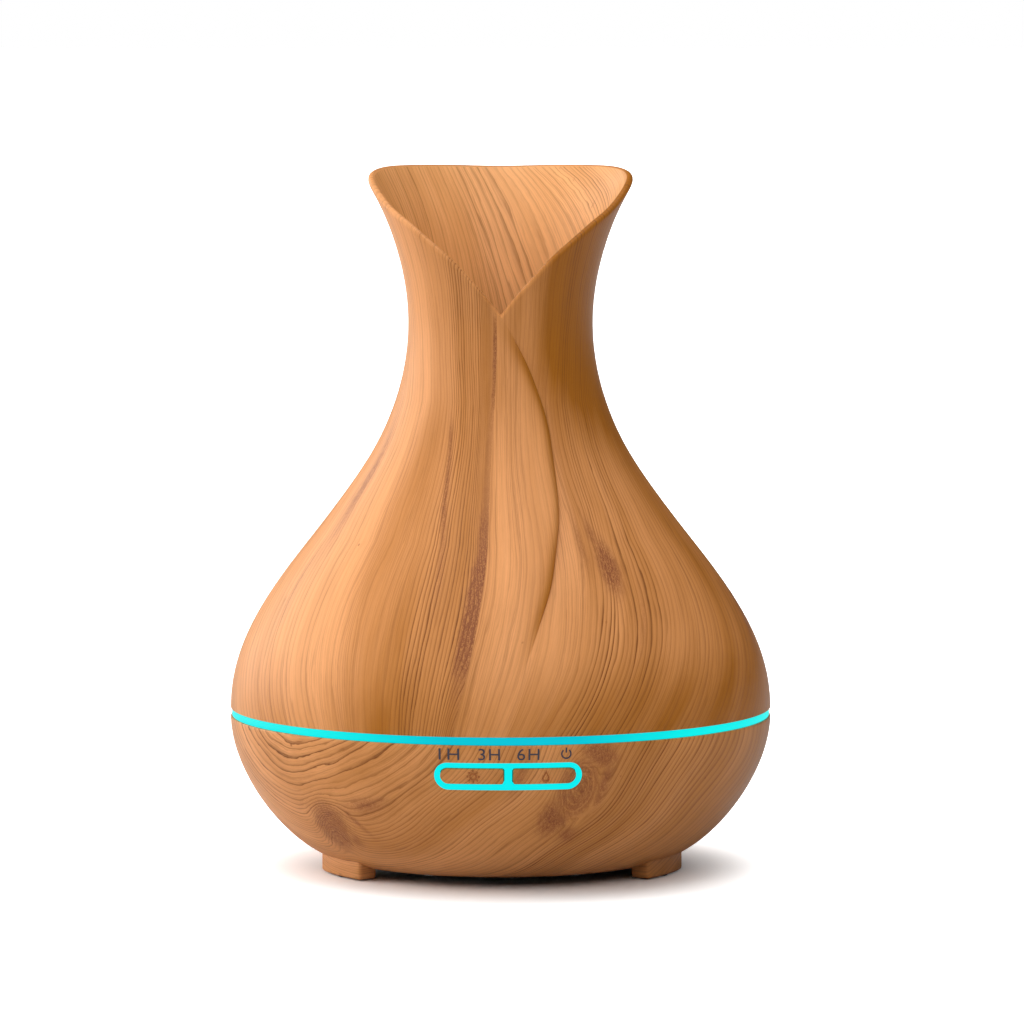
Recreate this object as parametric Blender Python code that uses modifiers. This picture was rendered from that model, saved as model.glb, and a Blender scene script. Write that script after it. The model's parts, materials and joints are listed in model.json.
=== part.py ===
"""Essential oil diffuser, vase form: wood-grain cover over a water tank with an
ultrasonic transducer, a fan, a glowing ring and two push buttons.

Frame: metres, +Z up, origin on the floor under the middle of the base.
The button panel faces -Y and the power inlet faces +Y.
"""
import math

import bmesh
import bpy
import numpy as np
from mathutils import Matrix, Vector

MM = 0.001

# ---------------------------------------------------------------- dimensions
# All in millimetres; the helpers below turn them into metres.
STEPS = 40                 # facets round the large turned parts
BASE_R = 84.2              # widest radius, at the seam between base and cover
BASE_TOP = 47.5            # top edge of the base bowl
COVER_BOTTOM = 50.0        # lower edge of the lift-off cover
WALL_BASE = 2.3
WALL_COVER = 2.2
BOWL_BOTTOM = 2.8          # underside of the bowl, above the floor
BOWL_BOTTOM_R = 47.5
BOTTOM_OPENING_R = 44.1    # service opening in the underside

# outer radius of the cover, by height
COVER_Z = [50, 60, 70, 82, 94, 106, 118, 130, 142, 156, 170, 184, 196, 206, 214, 220]
COVER_R = [84.2, 83.2, 80.2, 74.1, 65.9, 56.6, 47.6, 39.7, 34.0, 30.0, 28.7, 30.1,
           33.3, 37.4, 41.7, 45.0]
# height of the mouth's rim, by angle away from the front
RIM_DEG = [0, 8, 18, 30, 45, 67, 90, 109, 124, 140, 163, 180]
RIM_Z = [173.6, 178.8, 185.1, 191.5, 198.1, 206.4, 212.6, 215.4, 216.5, 216.8, 216.3, 216.0]
COVER_TURN = -1.6          # degrees; the cover sits slightly turned on the base

FEET_DEG = [-62, 62, 118, -118]     # from the front, seen from above
FOOT_HALF_DEG = 12.4
FOOT_R_IN, FOOT_R_OUT = 51.2, 58.2
FOOT_BOTTOM, FOOT_TOP = 0.4, 6.6
PAD_R, PAD_AT, PAD_TOP = 2.6, 54.7, 1.5

PANEL_Z = 38.0             # height of the middle of the button panel
PANEL_W, PANEL_H = 45.1, 8.4        # outside of the lit bezel
BEZEL_LINE = 1.5           # width of the lit line
PANEL_BAR = 2.3            # lit bar between the buttons
GAP = 0.3
BUTTON_TRAVEL = 0.6

FAN_X, FAN_Y = -34.5, 0.0
FAN_SIZE, FAN_Z0, FAN_Z1 = 35.0, 7.1, 16.1

SCREW_POSTS = [(22, -33), (-22, -33), (24, 32), (-24, 32)]
INLET_Z = 8.9              # axis of the power inlet
TRANSDUCER_SCREWS = [0, 120, 240]

# ---------------------------------------------------------------- clean start
for ob in list(bpy.data.objects):
    bpy.data.objects.remove(ob, do_unlink=True)

parts = bpy.data.collections.new("essential_oil_diffuser")
cutters = bpy.data.collections.new("cutters")
bpy.context.scene.collection.children.link(parts)
bpy.context.scene.collection.children.link(cutters)


# ---------------------------------------------------------------- curves
def spline(xs, ys, start_slope=None, end_slope=None):
    """Natural cubic spline through the stations; a given slope clamps that end."""
    x, y = np.array(xs, float), np.array(ys, float)
    n = len(x)
    a, b = np.zeros((n, n)), np.zeros(n)
    h = np.diff(x)
    for i in range(1, n - 1):
        a[i, i - 1], a[i, i], a[i, i + 1] = h[i - 1], 2 * (h[i - 1] + h[i]), h[i]
        b[i] = 3 * ((y[i + 1] - y[i]) / h[i] - (y[i] - y[i - 1]) / h[i - 1])
    a[0, 0], a[-1, -1] = 1, 1
    if start_slope is not None:
        a[0, 0], a[0, 1] = 2 * h[0], h[0]
        b[0] = 3 * ((y[1] - y[0]) / h[0] - start_slope)
    if end_slope is not None:
        a[-1, -1], a[-1, -2] = 2 * h[-1], h[-1]
        b[-1] = 3 * (end_slope - (y[-1] - y[-2]) / h[-1])
    c = np.linalg.solve(a, b)

    def at(v):
        i = int(min(max(np.searchsorted(x, v) - 1, 0), n - 2))
        d = v - x[i]
        s = (y[i + 1] - y[i]) / h[i] - h[i] * (2 * c[i] + c[i + 1]) / 3
        return float(y[i] + s * d + c[i] * d * d + (c[i + 1] - c[i]) / (3 * h[i]) * d ** 3)
    return at


cover_radius = spline(COVER_Z, COVER_R, start_slope=0.0)
rim_height = spline(RIM_DEG, RIM_Z, end_slope=0.0)


def bowl_curve(n, inset=0.0):
    """Outside of the base bowl, top to bottom, as (r, z), moved in by inset."""
    p = [Vector((BASE_R, BASE_TOP)), Vector((BASE_R, 28.5)),
         Vector((64.0, BOWL_BOTTOM)), Vector((BOWL_BOTTOM_R, BOWL_BOTTOM))]
    out = []
    for i in range(n + 1):
        t = i / n
        s = 1 - t
        q = p[0] * s ** 3 + p[1] * 3 * s * s * t + p[2] * 3 * s * t * t + p[3] * t ** 3
        d = (p[1] - p[0]) * 3 * s * s + (p[2] - p[1]) * 6 * s * t + (p[3] - p[2]) * 3 * t * t
        d.normalize()
        out.append((q.x + d.y * inset, q.y - d.x * inset))
    return out


def arc(cx, cy, r, a0, a1, n):
    return [(cx + r * math.cos(math.radians(a0 + (a1 - a0) * i / n)),
             cy + r * math.sin(math.radians(a0 + (a1 - a0) * i / n))) for i in range(n + 1)]


def circle(cx, cy, r, n):
    return arc(cx, cy, r, 0, 360 - 360 / n, n - 1)


def front_xy(deg, r):
    """Point at an angle from the front (-Y), positive towards +X."""
    a = math.radians(deg)
    return r * math.sin(a), -r * math.cos(a)


# ---------------------------------------------------------------- materials
def material(name, rgb, rough, metal=0.0, glow=None, alpha=1.0):
    m = bpy.data.materials.new(name)
    m.use_nodes = True
    b = m.node_tree.nodes["Principled BSDF"]
    b.inputs["Base Color"].default_value = (*rgb, 1)
    b.inputs["Roughness"].default_value = rough
    b.inputs["Metallic"].default_value = metal
    b.inputs["Alpha"].default_value = alpha
    if glow:
        b.inputs["Emission Color"].default_value = (*glow, 1)
        b.inputs["Emission Strength"].default_value = 1.5
    m.diffuse_color = (*rgb, 1)
    return m


WOOD = dict(rgb=(0.62, 0.30, 0.12), rough=0.45)
WHITE = dict(rgb=(0.86, 0.86, 0.84), rough=0.4)
CYAN = dict(rgb=(0.05, 0.75, 0.80), rough=0.3, glow=(0.0, 0.8, 0.9))
RUBBER = dict(rgb=(0.04, 0.04, 0.04), rough=0.85)
BLACK = dict(rgb=(0.05, 0.05, 0.055), rough=0.5)
BOARD = dict(rgb=(0.03, 0.22, 0.10), rough=0.45)
STEEL = dict(rgb=(0.62, 0.62, 0.63), rough=0.3, metal=1.0)


# ---------------------------------------------------------------- helpers
def add(name, mesh, look=None):
    """Link a mesh as a part with its own material, or as a hidden cutter."""
    ob = bpy.data.objects.new(name, mesh)
    if look is None:
        cutters.objects.link(ob)
        ob.hide_render = True
        ob.display_type = 'WIRE'
    else:
        parts.objects.link(ob)
        mesh.materials.append(material(name, **look))
    return ob


def mesh_from(bm, name):
    me = bpy.data.meshes.new(name)
    bm.to_mesh(me)
    bm.free()
    return me


def box(name, lo, hi, look=None, bevel=0.0):
    lo, hi = Vector(lo) * MM, Vector(hi) * MM
    bm = bmesh.new()
    bmesh.ops.create_cube(bm, size=1.0)
    bmesh.ops.scale(bm, vec=hi - lo, verts=bm.verts)
    ob = add(name, mesh_from(bm, name), look)
    ob.location = (lo + hi) / 2
    if bevel:
        b = ob.modifiers.new("edges", 'BEVEL')
        b.width, b.segments, b.limit_method = bevel * MM, 1, 'ANGLE'
    return ob


def cylinder(name, r, base, axis, length, look=None, seg=24):
    bm = bmesh.new()
    bmesh.ops.create_cone(bm, cap_ends=True, segments=seg, radius1=r * MM, radius2=r * MM,
                          depth=length * MM)
    me = mesh_from(bm, name)
    me.shade_smooth()
    me.set_sharp_from_angle(angle=math.radians(40))
    ob = add(name, me, look)
    d = Vector(axis).normalized()
    ob.rotation_euler = d.to_track_quat('Z', 'Y').to_euler()
    ob.location = Vector(base) * MM + d * length * MM / 2
    return ob


def turned(name, profile, look=None, steps=STEPS, closed=True, at=(0, 0, 0)):
    """Profile of (r, z) points, outer side first and downwards, turned about Z."""
    me = bpy.data.meshes.new(name)
    n = len(profile)
    edges = [(i, i + 1) for i in range(n - 1)] + ([(n - 1, 0)] if closed else [])
    me.from_pydata([(r * MM, 0, z * MM) for r, z in profile], edges, [])
    ob = add(name, me, look)
    ob.location = Vector(at) * MM
    s = ob.modifiers.new("turn", 'SCREW')
    s.axis, s.angle = 'Z', math.tau
    s.steps = s.render_steps = steps
    s.use_merge_vertices, s.merge_threshold = True, 0.00002
    s.use_smooth_shade = True
    return ob


def outline(name, loops, lo, hi, look=None, upright=False):
    """Flat outline with holes, thickened from lo to hi: along Z, or along Y if upright."""
    cu = bpy.data.curves.new(name, 'CURVE')
    cu.dimensions, cu.fill_mode = '2D', 'BOTH'
    cu.extrude = (hi - lo) / 2 * MM
    for loop in loops:
        sp = cu.splines.new('POLY')
        sp.points.add(len(loop) - 1)
        for p, (x, y) in zip(sp.points, loop):
            p.co = (x * MM, y * MM, 0, 1)
        sp.use_cyclic_u = True
    tmp = bpy.data.objects.new(name + "_curve", cu)
    bpy.context.scene.collection.objects.link(tmp)
    tmp.location.z = (lo + hi) / 2 * MM
    if upright:
        tmp.location = (0, (lo + hi) / 2 * MM, 0)
        tmp.rotation_euler = (math.pi / 2, 0, 0)
    bpy.context.view_layer.update()
    me = bpy.data.meshes.new_from_object(tmp.evaluated_get(bpy.context.evaluated_depsgraph_get()))
    world = tmp.matrix_world.copy()
    bpy.data.objects.remove(tmp, do_unlink=True)
    bm = bmesh.new()
    bm.from_mesh(me)
    bmesh.ops.remove_doubles(bm, verts=bm.verts, dist=0.00001)
    bmesh.ops.recalc_face_normals(bm, faces=bm.faces)
    bm.to_mesh(me)
    bm.free()
    me.materials.clear()
    ob = add(name, me, look)
    ob.matrix_world = world
    return ob


def boolean(ob, other, how='DIFFERENCE'):
    m = ob.modifiers.new(how.lower() + "_" + other.name, 'BOOLEAN')
    m.operation, m.object, m.solver = how, other, 'EXACT'
    return ob


def wire(name, route, r, look):
    """Round lead along a smooth route through the given points."""
    pts = [Vector(p) for p in route]
    pts = [pts[0] * 2 - pts[1]] + pts + [pts[-1] * 2 - pts[-2]]
    fine = []
    for i in range(1, len(pts) - 2):
        a, b, c, d = pts[i - 1:i + 3]
        for k in range(3):
            t = k / 3
            fine.append(0.5 * (2 * b + (c - a) * t + (2 * a - 5 * b + 4 * c - d) * t * t
                               + (3 * b - a - 3 * c + d) * t ** 3))
    fine.append(pts[-2])
    cu = bpy.data.curves.new(name, 'CURVE')
    cu.dimensions, cu.bevel_depth, cu.bevel_resolution = '3D', r * MM, 2
    cu.use_fill_caps, cu.render_resolution_u = True, 0
    sp = cu.splines.new('POLY')
    sp.points.add(len(fine) - 1)
    for p, v in zip(sp.points, fine):
        p.co = (*(v * MM), 1)
    ob = bpy.data.objects.new(name, cu)
    parts.objects.link(ob)
    cu.materials.append(material(name, **look))
    return ob


def stadium(cx, cz, w, h, n=8):
    r = h / 2
    return (arc(cx + w / 2 - r, cz, r, -90, 90, n) + arc(cx - w / 2 + r, cz, r, 90, 270, n))


def key_outline(side, grow):
    """One push button: round on its outer end, small corners beside the centre bar."""
    x0 = PANEL_BAR / 2 - grow
    x1 = PANEL_W / 2 - BEZEL_LINE + grow
    h = PANEL_H / 2 - BEZEL_LINE + grow
    c = 0.9
    pts = arc(x1 - h, PANEL_Z, h, -90, 90, 8)
    pts += arc(x0 + c, PANEL_Z + h - c, c, 90, 180, 2)
    pts += arc(x0 + c, PANEL_Z - h + c, c, 180, 270, 2)
    return [(x * side, z) for x, z in (pts if side > 0 else reversed(pts))]


# ================================================================ base bowl
inner = bowl_curve(9, WALL_BASE)
housing_profile = bowl_curve(11) + [
    (BOTTOM_OPENING_R, BOWL_BOTTOM), (BOTTOM_OPENING_R, BOWL_BOTTOM + WALL_BASE)]
housing_profile += [p for p in reversed(inner) if p[1] < 36.0]
housing_profile += [(79.4, 40.8), (79.4, 43.8), (BASE_R - WALL_BASE, 43.8),
                    (BASE_R - WALL_BASE, BASE_TOP)]
housing = turned("base_housing", housing_profile, WOOD)

for i, deg in enumerate(FEET_DEG):
    a = deg - 90
    block = arc(0, 0, FOOT_R_OUT, a - FOOT_HALF_DEG, a + FOOT_HALF_DEG, 4) \
        + arc(0, 0, FOOT_R_IN, a + FOOT_HALF_DEG, a - FOOT_HALF_DEG, 4)
    foot = outline("foot_block_%d" % (i + 1), [block], FOOT_BOTTOM, FOOT_TOP)
    boolean(housing, foot, 'UNION')
    x, y = front_xy(deg, PAD_AT)
    pocket = cylinder("pad_pocket_%d" % (i + 1), PAD_R + GAP, (x, y, -1), (0, 0, 1),
                      1 + PAD_TOP + GAP, seg=16)
    boolean(housing, pocket)
    cylinder(["foot_pad_front_left", "foot_pad_front_right", "foot_pad_rear_right",
              "foot_pad_rear_left"][i], PAD_R, (x, y, 0), (0, 0, 1), PAD_TOP, RUBBER, seg=16)

panel_cut = outline("panel_cut", [stadium(0, PANEL_Z, PANEL_W + 2 * GAP, PANEL_H + 2 * GAP)],
                    -92, -70, upright=True)
boolean(housing, panel_cut)
boolean(housing, box("cable_notch", (-7.0, 40, -1), (7.0, 80, 15.4)))

# ================================================================ button panel
panel_skin = [(r, z) for r, z in bowl_curve(16) if 29.5 < z < 47.4]
panel_back = [(r, z) for r, z in bowl_curve(16, 2.3) if 29.5 < z < 47.0]
bezel = turned("panel_bezel", panel_skin + panel_back[::-1], CYAN)
boolean(bezel, outline("bezel_outside", [stadium(0, PANEL_Z, PANEL_W, PANEL_H)],
                       -92, -70, upright=True), 'INTERSECT')
for side, word in ((-1, "light"), (1, "mist")):
    boolean(bezel, outline(word + "_key_hole", [key_outline(side, 0.0)], -93, -69, upright=True))
    key = turned(word + "_button", panel_skin + panel_back[::-1], WOOD)
    boolean(key, outline(word + "_key_shape", [key_outline(side, -GAP)], -92, -70, upright=True),
            'INTERSECT')
    kx = side * 11.1
    stem = box(word + "_key_stem", (kx - 1.8, -82.3, PANEL_Z - 1.8),
               (kx + 1.8, -78.9, PANEL_Z + 1.8))
    boolean(key, stem, 'UNION')
    cylinder(word + "_switch_plunger", 1.5, (kx, -78.6, PANEL_Z), (0, 1, 0), 2.8, BLACK, seg=16)
    switch = box(word + "_switch", (kx - 3, -77.2, PANEL_Z - 3), (kx + 3, -73.7, PANEL_Z + 3),
                 STEEL)
    boolean(switch, cylinder(word + "_switch_bore", 1.9, (kx, -78, PANEL_Z), (0, 1, 0), 3.2,
                             seg=16))
box("button_board", (-22.5, -73.4, 32.0), (22.5, -71.8, 44.6), BOARD)
for word, x in (("1h", -17.5), ("3h", -5.7), ("6h", 5.9), ("on", 17.4)):
    box("timer_led_" + word, (x - 1.1, -74.9, 42.2), (x + 1.1, -73.7, 44.0), WHITE)

# ================================================================ tank and ring
tank_profile = [
    (81.4, 47.4), (81.4, 45.2), (69.2, 45.2), (68.2, 36.0), (66.5, 29.0), (63.0, 24.5),
    (57.0, 21.6), (45.0, 19.9), (20.0, 18.2), (11.9, 17.6), (11.9, 13.8), (10.3, 13.8),
    (10.3, 17.3), (7.0, 17.3), (7.0, 19.5), (20.0, 20.4), (45.0, 22.1), (56.0, 23.8),
    (61.0, 26.2), (64.3, 30.0), (66.0, 36.0), (67.0, 47.4)]
tank = turned("water_tank", tank_profile, WHITE)
for i, (x, y) in enumerate(SCREW_POSTS):
    boolean(tank, cylinder("post_%d" % (i + 1), 3.0, (x, y, 5.4), (0, 0, 1), 15.4, seg=12),
            'UNION')
    boolean(tank, cylinder("post_hole_%d" % (i + 1), 1.35, (x, y, 4), (0, 0, 1), 10.0, seg=12))
for i, deg in enumerate(TRANSDUCER_SCREWS):
    x, y = front_xy(deg, 14.2)
    boolean(tank, cylinder("boss_%d" % (i + 1), 2.5, (x, y, 13.8), (0, 0, 1), 5.0, seg=12),
            'UNION')
    boolean(tank, cylinder("boss_hole_%d" % (i + 1), 1.2, (x, y, 13), (0, 0, 1), 4.4, seg=12))
boolean(tank, cylinder("air_tower", 8.6, (FAN_X, FAN_Y, 17.0), (0, 0, 1), 26.5), 'UNION')
boolean(tank, cylinder("air_bore", 6.8, (FAN_X, FAN_Y, 14.0), (0, 0, 1), 28.0))
boolean(tank, box("air_window", (FAN_X + 3, -4.5, 34.0), (FAN_X + 12, 4.5, 40.5)))

turned("tank_gasket", [(81.4, 44.9), (81.4, 44.1), (79.9, 44.1), (79.9, 44.9)], RUBBER)
turned("light_ring", [(81.2, 54.0), (81.2, 49.5), (83.8, 49.5), (83.8, 47.8), (76.8, 47.8),
                      (76.8, 49.5), (79.0, 49.5), (79.0, 54.0)], CYAN)

led_arc = arc(0, 0, 77.8, -60, 240, 30) + arc(0, 0, 71.8, 240, -60, 30)
outline("light_led_board", [led_arc], 38.5, 40.1, BOARD)
for i in range(6):
    a = math.radians(-45 + 54 * i)
    led = box("light_led_%d" % (i + 1), (-1.5, -1.5, 40.4), (1.5, 1.5, 42.0), WHITE)
    led.location = (74.8 * MM * math.cos(a), 74.8 * MM * math.sin(a), led.location.z)
    led.rotation_euler.z = a

# ================================================================ transducer
turned("transducer_seal", [(10.0, 17.0), (10.0, 13.8), (6.8, 13.8), (6.8, 14.7), (8.3, 14.7),
                           (8.3, 16.4), (6.8, 16.4), (6.8, 17.0)], RUBBER, steps=20)
cylinder("transducer_disc", 8.0, (0, 0, 15.0), (0, 0, 1), 1.1, STEEL, seg=20)
holes = [circle(*front_xy(d, 14.2), 1.3, 10) for d in TRANSDUCER_SCREWS]
outline("transducer_retainer", [circle(0, 0, 16.6, 28), circle(0, 0, 5.2, 20)] + holes,
        12.0, 13.5, STEEL)
for i, deg in enumerate(TRANSDUCER_SCREWS):
    x, y = front_xy(deg, 14.2)
    turned("transducer_screw_%d" % (i + 1),
           [(0, 16.8), (0.9, 16.8), (0.9, 11.7), (2.0, 11.7), (2.0, 10.4), (0, 10.4)],
           STEEL, steps=12, closed=False, at=(x, y, 0))

# ================================================================ fan
h = FAN_SIZE / 2
frame_loop = [(FAN_X + x, FAN_Y + y) for x, y in ((-h, -h), (h, -h), (h, h), (-h, h))]
fan_housing = outline("fan_housing", [frame_loop, circle(FAN_X, FAN_Y, 15.6, 24)],
                      FAN_Z0, FAN_Z1, BLACK)
boolean(fan_housing, cylinder("fan_seat", 6.5, (FAN_X, FAN_Y, FAN_Z0), (0, 0, 1), 1.2), 'UNION')
for i in range(2):
    arm = box("fan_arm_%d" % (i + 1), (-16.2, -1.0, FAN_Z0 + 0.1), (16.2, 1.0, FAN_Z0 + 1.1))
    arm.location = (FAN_X * MM, FAN_Y * MM, arm.location.z)
    arm.rotation_euler.z = math.radians(35 + 90 * i)
    boolean(fan_housing, arm, 'UNION')
rotor = cylinder("fan_rotor", 7.2, (FAN_X, FAN_Y, FAN_Z0 + 1.6), (0, 0, 1), 6.8, BLACK, seg=16)
for i in range(7):
    a = math.tau * i / 7
    blade = box("blade_%d" % (i + 1), (-4.4, -0.4, -3.6), (4.4, 0.4, 3.6))
    blade.rotation_euler = (math.radians(42), 0, a)
    blade.location = ((FAN_X + 10.6 * math.cos(a)) * MM, (FAN_Y + 10.6 * math.sin(a)) * MM,
                      (FAN_Z0 + 5.0) * MM)
    boolean(rotor, blade, 'UNION')
turned("fan_duct", [(10.5, 18.2), (10.5, 17.3), (16.8, 17.3), (16.8, 16.4), (8.9, 16.4),
                    (8.9, 18.2)], RUBBER, steps=24, at=(FAN_X, FAN_Y, 0))

# ================================================================ bottom cover
slots = []
for y in (-10, -5, 0, 5, 10):
    slots.append(arc(-21, y, 1.0, -90, 90, 3) + arc(-39, y, 1.0, 90, 270, 3))
for y in (-8, 0, 8):
    slots.append(arc(36, y, 1.0, -90, 90, 3) + arc(24, y, 1.0, 90, 270, 3))
plate_holes = [circle(x, y, 1.5, 12) for x, y in SCREW_POSTS]
bottom = turned("bottom_cover", [(0, 5.1), (43.7, 5.1), (43.7, 3.1), (0, 3.1)], BLACK,
                closed=False)
trough = box("cable_trough", (-6.6, 30.0, 3.3), (6.6, 76, 15.0))
boolean(trough, turned("bowl_envelope", [(0, 47)] + bowl_curve(11, 0.3) + [(0, BOWL_BOTTOM + 0.3)],
                       closed=False), 'INTERSECT')
boolean(bottom, trough, 'UNION')
boolean(bottom, outline("vent_slots", slots + plate_holes, 2.0, 6.0))
boolean(bottom, box("trough_space", (-5.2, 31.5, -1), (5.2, 84, 13.6)))
boolean(bottom, cylinder("inlet_hole", 4.2, (0, 29, INLET_Z), (0, 1, 0), 4.0, seg=20))
for i, (x, y) in enumerate(SCREW_POSTS):
    turned("base_screw_%d" % (i + 1),
           [(0, 12.0), (1.0, 12.0), (1.0, 2.8), (2.6, 2.8), (2.6, 1.5), (0, 1.5)],
           STEEL, steps=12, closed=False, at=(x, y, 0))

# ================================================================ power inlet
jack = box("dc_jack", (-4.6, 18.0, 5.4), (4.6, 29.7, 13.0), BLACK)
boolean(jack, cylinder("jack_nose", 3.9, (0, 29.0, INLET_Z), (0, 1, 0), 2.3, seg=20), 'UNION')
boolean(jack, cylinder("jack_bore", 2.85, (0, 20.8, INLET_Z), (0, 1, 0), 12, seg=20))
cylinder("dc_jack_pin", 1.05, (0, 21.1, INLET_Z), (0, 1, 0), 9.6, STEEL, seg=12)

# ================================================================ circuit board
pcb = arc(0, 0, 52.0, -48, 38, 10) + arc(0, 0, 19.5, 38, -48, 6)
outline("main_board", [pcb], 7.3, 8.9, BOARD)
box("heat_sink", (30, -14, 9.2), (40, 0, 16.0), STEEL)
cylinder("inductor", 5.0, (24, 7, 9.2), (0, 0, 1), 5.5, BLACK, seg=16)
cylinder("capacitor", 4.0, (40, 12, 9.2), (0, 0, 1), 8.0, BLACK, seg=16)
box("driver_chip", (22, -12, 9.2), (27, -4, 10.8), BLACK)

wire("transducer_lead", [(1.5, 0, 14.7), (1.8, 0, 11.0), (6, -3, 9.6), (14, -8, 9.8),
                         (18, -13.5, 9.8), (22, -17, 9.7)], 0.45, dict(rgb=(0.6, 0.05, 0.04), rough=0.5))
wire("fan_lead", [(-16.6, -12, 9.5), (-10, -18, 7.6), (2, -21, 7.4), (10, -22.5, 9.4),
                  (17, -22, 10.2), (25, -20, 10.0)], 0.5, BLACK)
wire("inlet_lead", [(3.0, 17.6, 7.2), (4.0, 15.9, 7.0), (8.5, 16.2, 7.4), (12.5, 16.5, 9.3),
                    (16, 15.5, 10.3), (20.5, 13.5, 10.1)], 0.6, BLACK)
wire("button_lead", [(12, -72.6, 31.6), (12.5, -70.5, 26), (16, -63, 17), (22, -48, 10.6),
                     (27, -33, 9.7), (29, -27, 9.6)], 0.6, BLACK)
wire("ring_lead", [(70.4, -25.5, 38.1), (67.5, -24.5, 30), (63, -23, 20), (54, -20, 11.5),
                   (46, -16.5, 9.7), (42, -16, 9.6)], 0.6, BLACK)

# ================================================================ inner lid
turned("inner_lid", [
    (10.2, 150.0), (10.8, 100.0), (12.2, 76.0), (15.0, 68.0), (22.0, 62.8), (45.0, 56.0),
    (66.0, 50.2), (76.2, 49.4), (76.2, 47.7), (66.4, 47.7), (66.4, 44.6), (64.9, 44.6),
    (64.9, 48.4), (45.0, 54.2), (21.5, 61.0), (13.6, 66.8), (10.6, 75.4), (9.2, 100.0),
    (8.6, 150.0)], WHITE, steps=32)

# ================================================================ vase cover
ROWS = 15
bm = bmesh.new()
line = [bm.verts.new((0, -1, i / ROWS)) for i in range(ROWS + 1)]
for a, b in zip(line, line[1:]):
    bm.edges.new((a, b))
bmesh.ops.spin(bm, geom=bm.verts[:] + bm.edges[:], cent=(0, 0, 0), axis=(0, 0, 1),
               angle=math.tau, steps=STEPS, use_merge=True)
bmesh.ops.remove_doubles(bm, verts=bm.verts, dist=0.0001)
for v in bm.verts:
    deg = math.degrees(math.atan2(v.co.x, -v.co.y))
    z = COVER_BOTTOM + (rim_height(abs(deg)) - COVER_BOTTOM) * v.co.z
    r = cover_radius(z)
    v.co = Vector((*front_xy(deg, r), z)) * MM
bmesh.ops.recalc_face_normals(bm, faces=bm.faces)
if sum(f.normal.dot(f.calc_center_median() * Vector((1, 1, 0))) for f in bm.faces) < 0:
    bmesh.ops.reverse_faces(bm, faces=bm.faces)
me = mesh_from(bm, "vase_cover")
me.shade_smooth()
cover = add("vase_cover", me, WOOD)
cover.rotation_euler.z = math.radians(COVER_TURN)
shell = cover.modifiers.new("wall", 'SOLIDIFY')
shell.thickness, shell.offset, shell.use_even_offset = WALL_COVER * MM, -1.0, True
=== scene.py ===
"""Looks for the essential oil diffuser: fine shells with a printed wood grain, lit ring and panel."""
import json
import math

import bmesh
import bpy
import numpy as np
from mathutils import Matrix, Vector

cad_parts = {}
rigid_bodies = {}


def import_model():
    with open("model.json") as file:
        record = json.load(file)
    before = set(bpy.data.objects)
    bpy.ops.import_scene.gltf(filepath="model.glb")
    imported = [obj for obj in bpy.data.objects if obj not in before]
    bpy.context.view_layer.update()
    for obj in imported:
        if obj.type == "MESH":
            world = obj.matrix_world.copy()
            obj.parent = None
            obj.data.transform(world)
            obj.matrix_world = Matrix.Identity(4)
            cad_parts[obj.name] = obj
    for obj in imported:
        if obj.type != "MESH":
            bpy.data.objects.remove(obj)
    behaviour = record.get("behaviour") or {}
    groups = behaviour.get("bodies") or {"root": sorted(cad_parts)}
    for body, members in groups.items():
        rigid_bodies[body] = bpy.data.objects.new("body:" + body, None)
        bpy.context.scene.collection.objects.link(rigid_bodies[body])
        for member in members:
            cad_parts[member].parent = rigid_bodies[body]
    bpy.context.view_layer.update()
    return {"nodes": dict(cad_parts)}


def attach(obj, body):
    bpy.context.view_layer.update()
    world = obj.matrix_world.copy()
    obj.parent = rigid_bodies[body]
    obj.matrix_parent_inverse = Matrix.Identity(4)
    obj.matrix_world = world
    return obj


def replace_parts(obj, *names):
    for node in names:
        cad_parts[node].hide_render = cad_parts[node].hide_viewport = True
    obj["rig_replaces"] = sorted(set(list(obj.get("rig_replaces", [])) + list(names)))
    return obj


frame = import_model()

MM = 0.001

# ------------------------------------------------------------------ form (millimetres)
BASE_R, BASE_TOP, COVER_BOTTOM = 84.2, 47.5, 50.0
WALL_BASE, WALL_COVER = 2.3, 2.2
BOWL_BOTTOM, BOWL_BOTTOM_R, BOTTOM_OPENING_R = 2.8, 47.5, 44.1
COVER_Z = [50, 60, 70, 82, 94, 106, 118, 130, 142, 156, 170, 184, 196, 206, 214, 220]
COVER_R = [84.2, 83.2, 80.2, 74.1, 65.9, 56.6, 47.6, 39.7, 34.0, 30.0, 28.7, 30.1,
           33.3, 37.4, 41.7, 45.0]
RIM_DEG = [0, 8, 18, 30, 45, 67, 90, 109, 124, 140, 163, 180]
RIM_Z = [173.6, 178.8, 185.1, 191.5, 198.1, 206.4, 212.6, 215.4, 216.5, 216.8, 216.3, 216.0]
CREST_DEG = [0, 8, 18, 30, 45, 57, 72, 80, 90, 100, 109, 124, 140, 163, 180]
CREST_Z = [173.5, 178.4, 184.0, 190.6, 197.2, 201.9, 206.4, 209.4, 213.1, 215.4, 216.5, 217.4, 217.5,
           217.2, 216.9]
COVER_TURN = math.radians(-1.6)
FEET_DEG = {"front_left": -62, "front_right": 62, "rear_right": 118, "rear_left": -118}
PANEL_Z, PANEL_W, PANEL_H, BEZEL_LINE, PANEL_BAR = 38.0, 45.1, 8.4, 1.5, 2.3
FAN_X = -34.5
INLET_Z = 8.9

# crease where the left petal of the cover lies over the right one: height, degrees from the front
CREASE = [(50, 1.5), (62, 3.2), (70, 5.0), (77.6, 7.4), (84.2, 9.7), (92.6, 13.0), (104, 16.9),
          (112, 19.9), (118, 21.6), (129, 23.6), (135, 24.4), (142, 24.2), (149, 21.8),
          (156.6, 17.4), (165, 9.6), (170, 3.9), (173.6, 0.0)]


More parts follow.
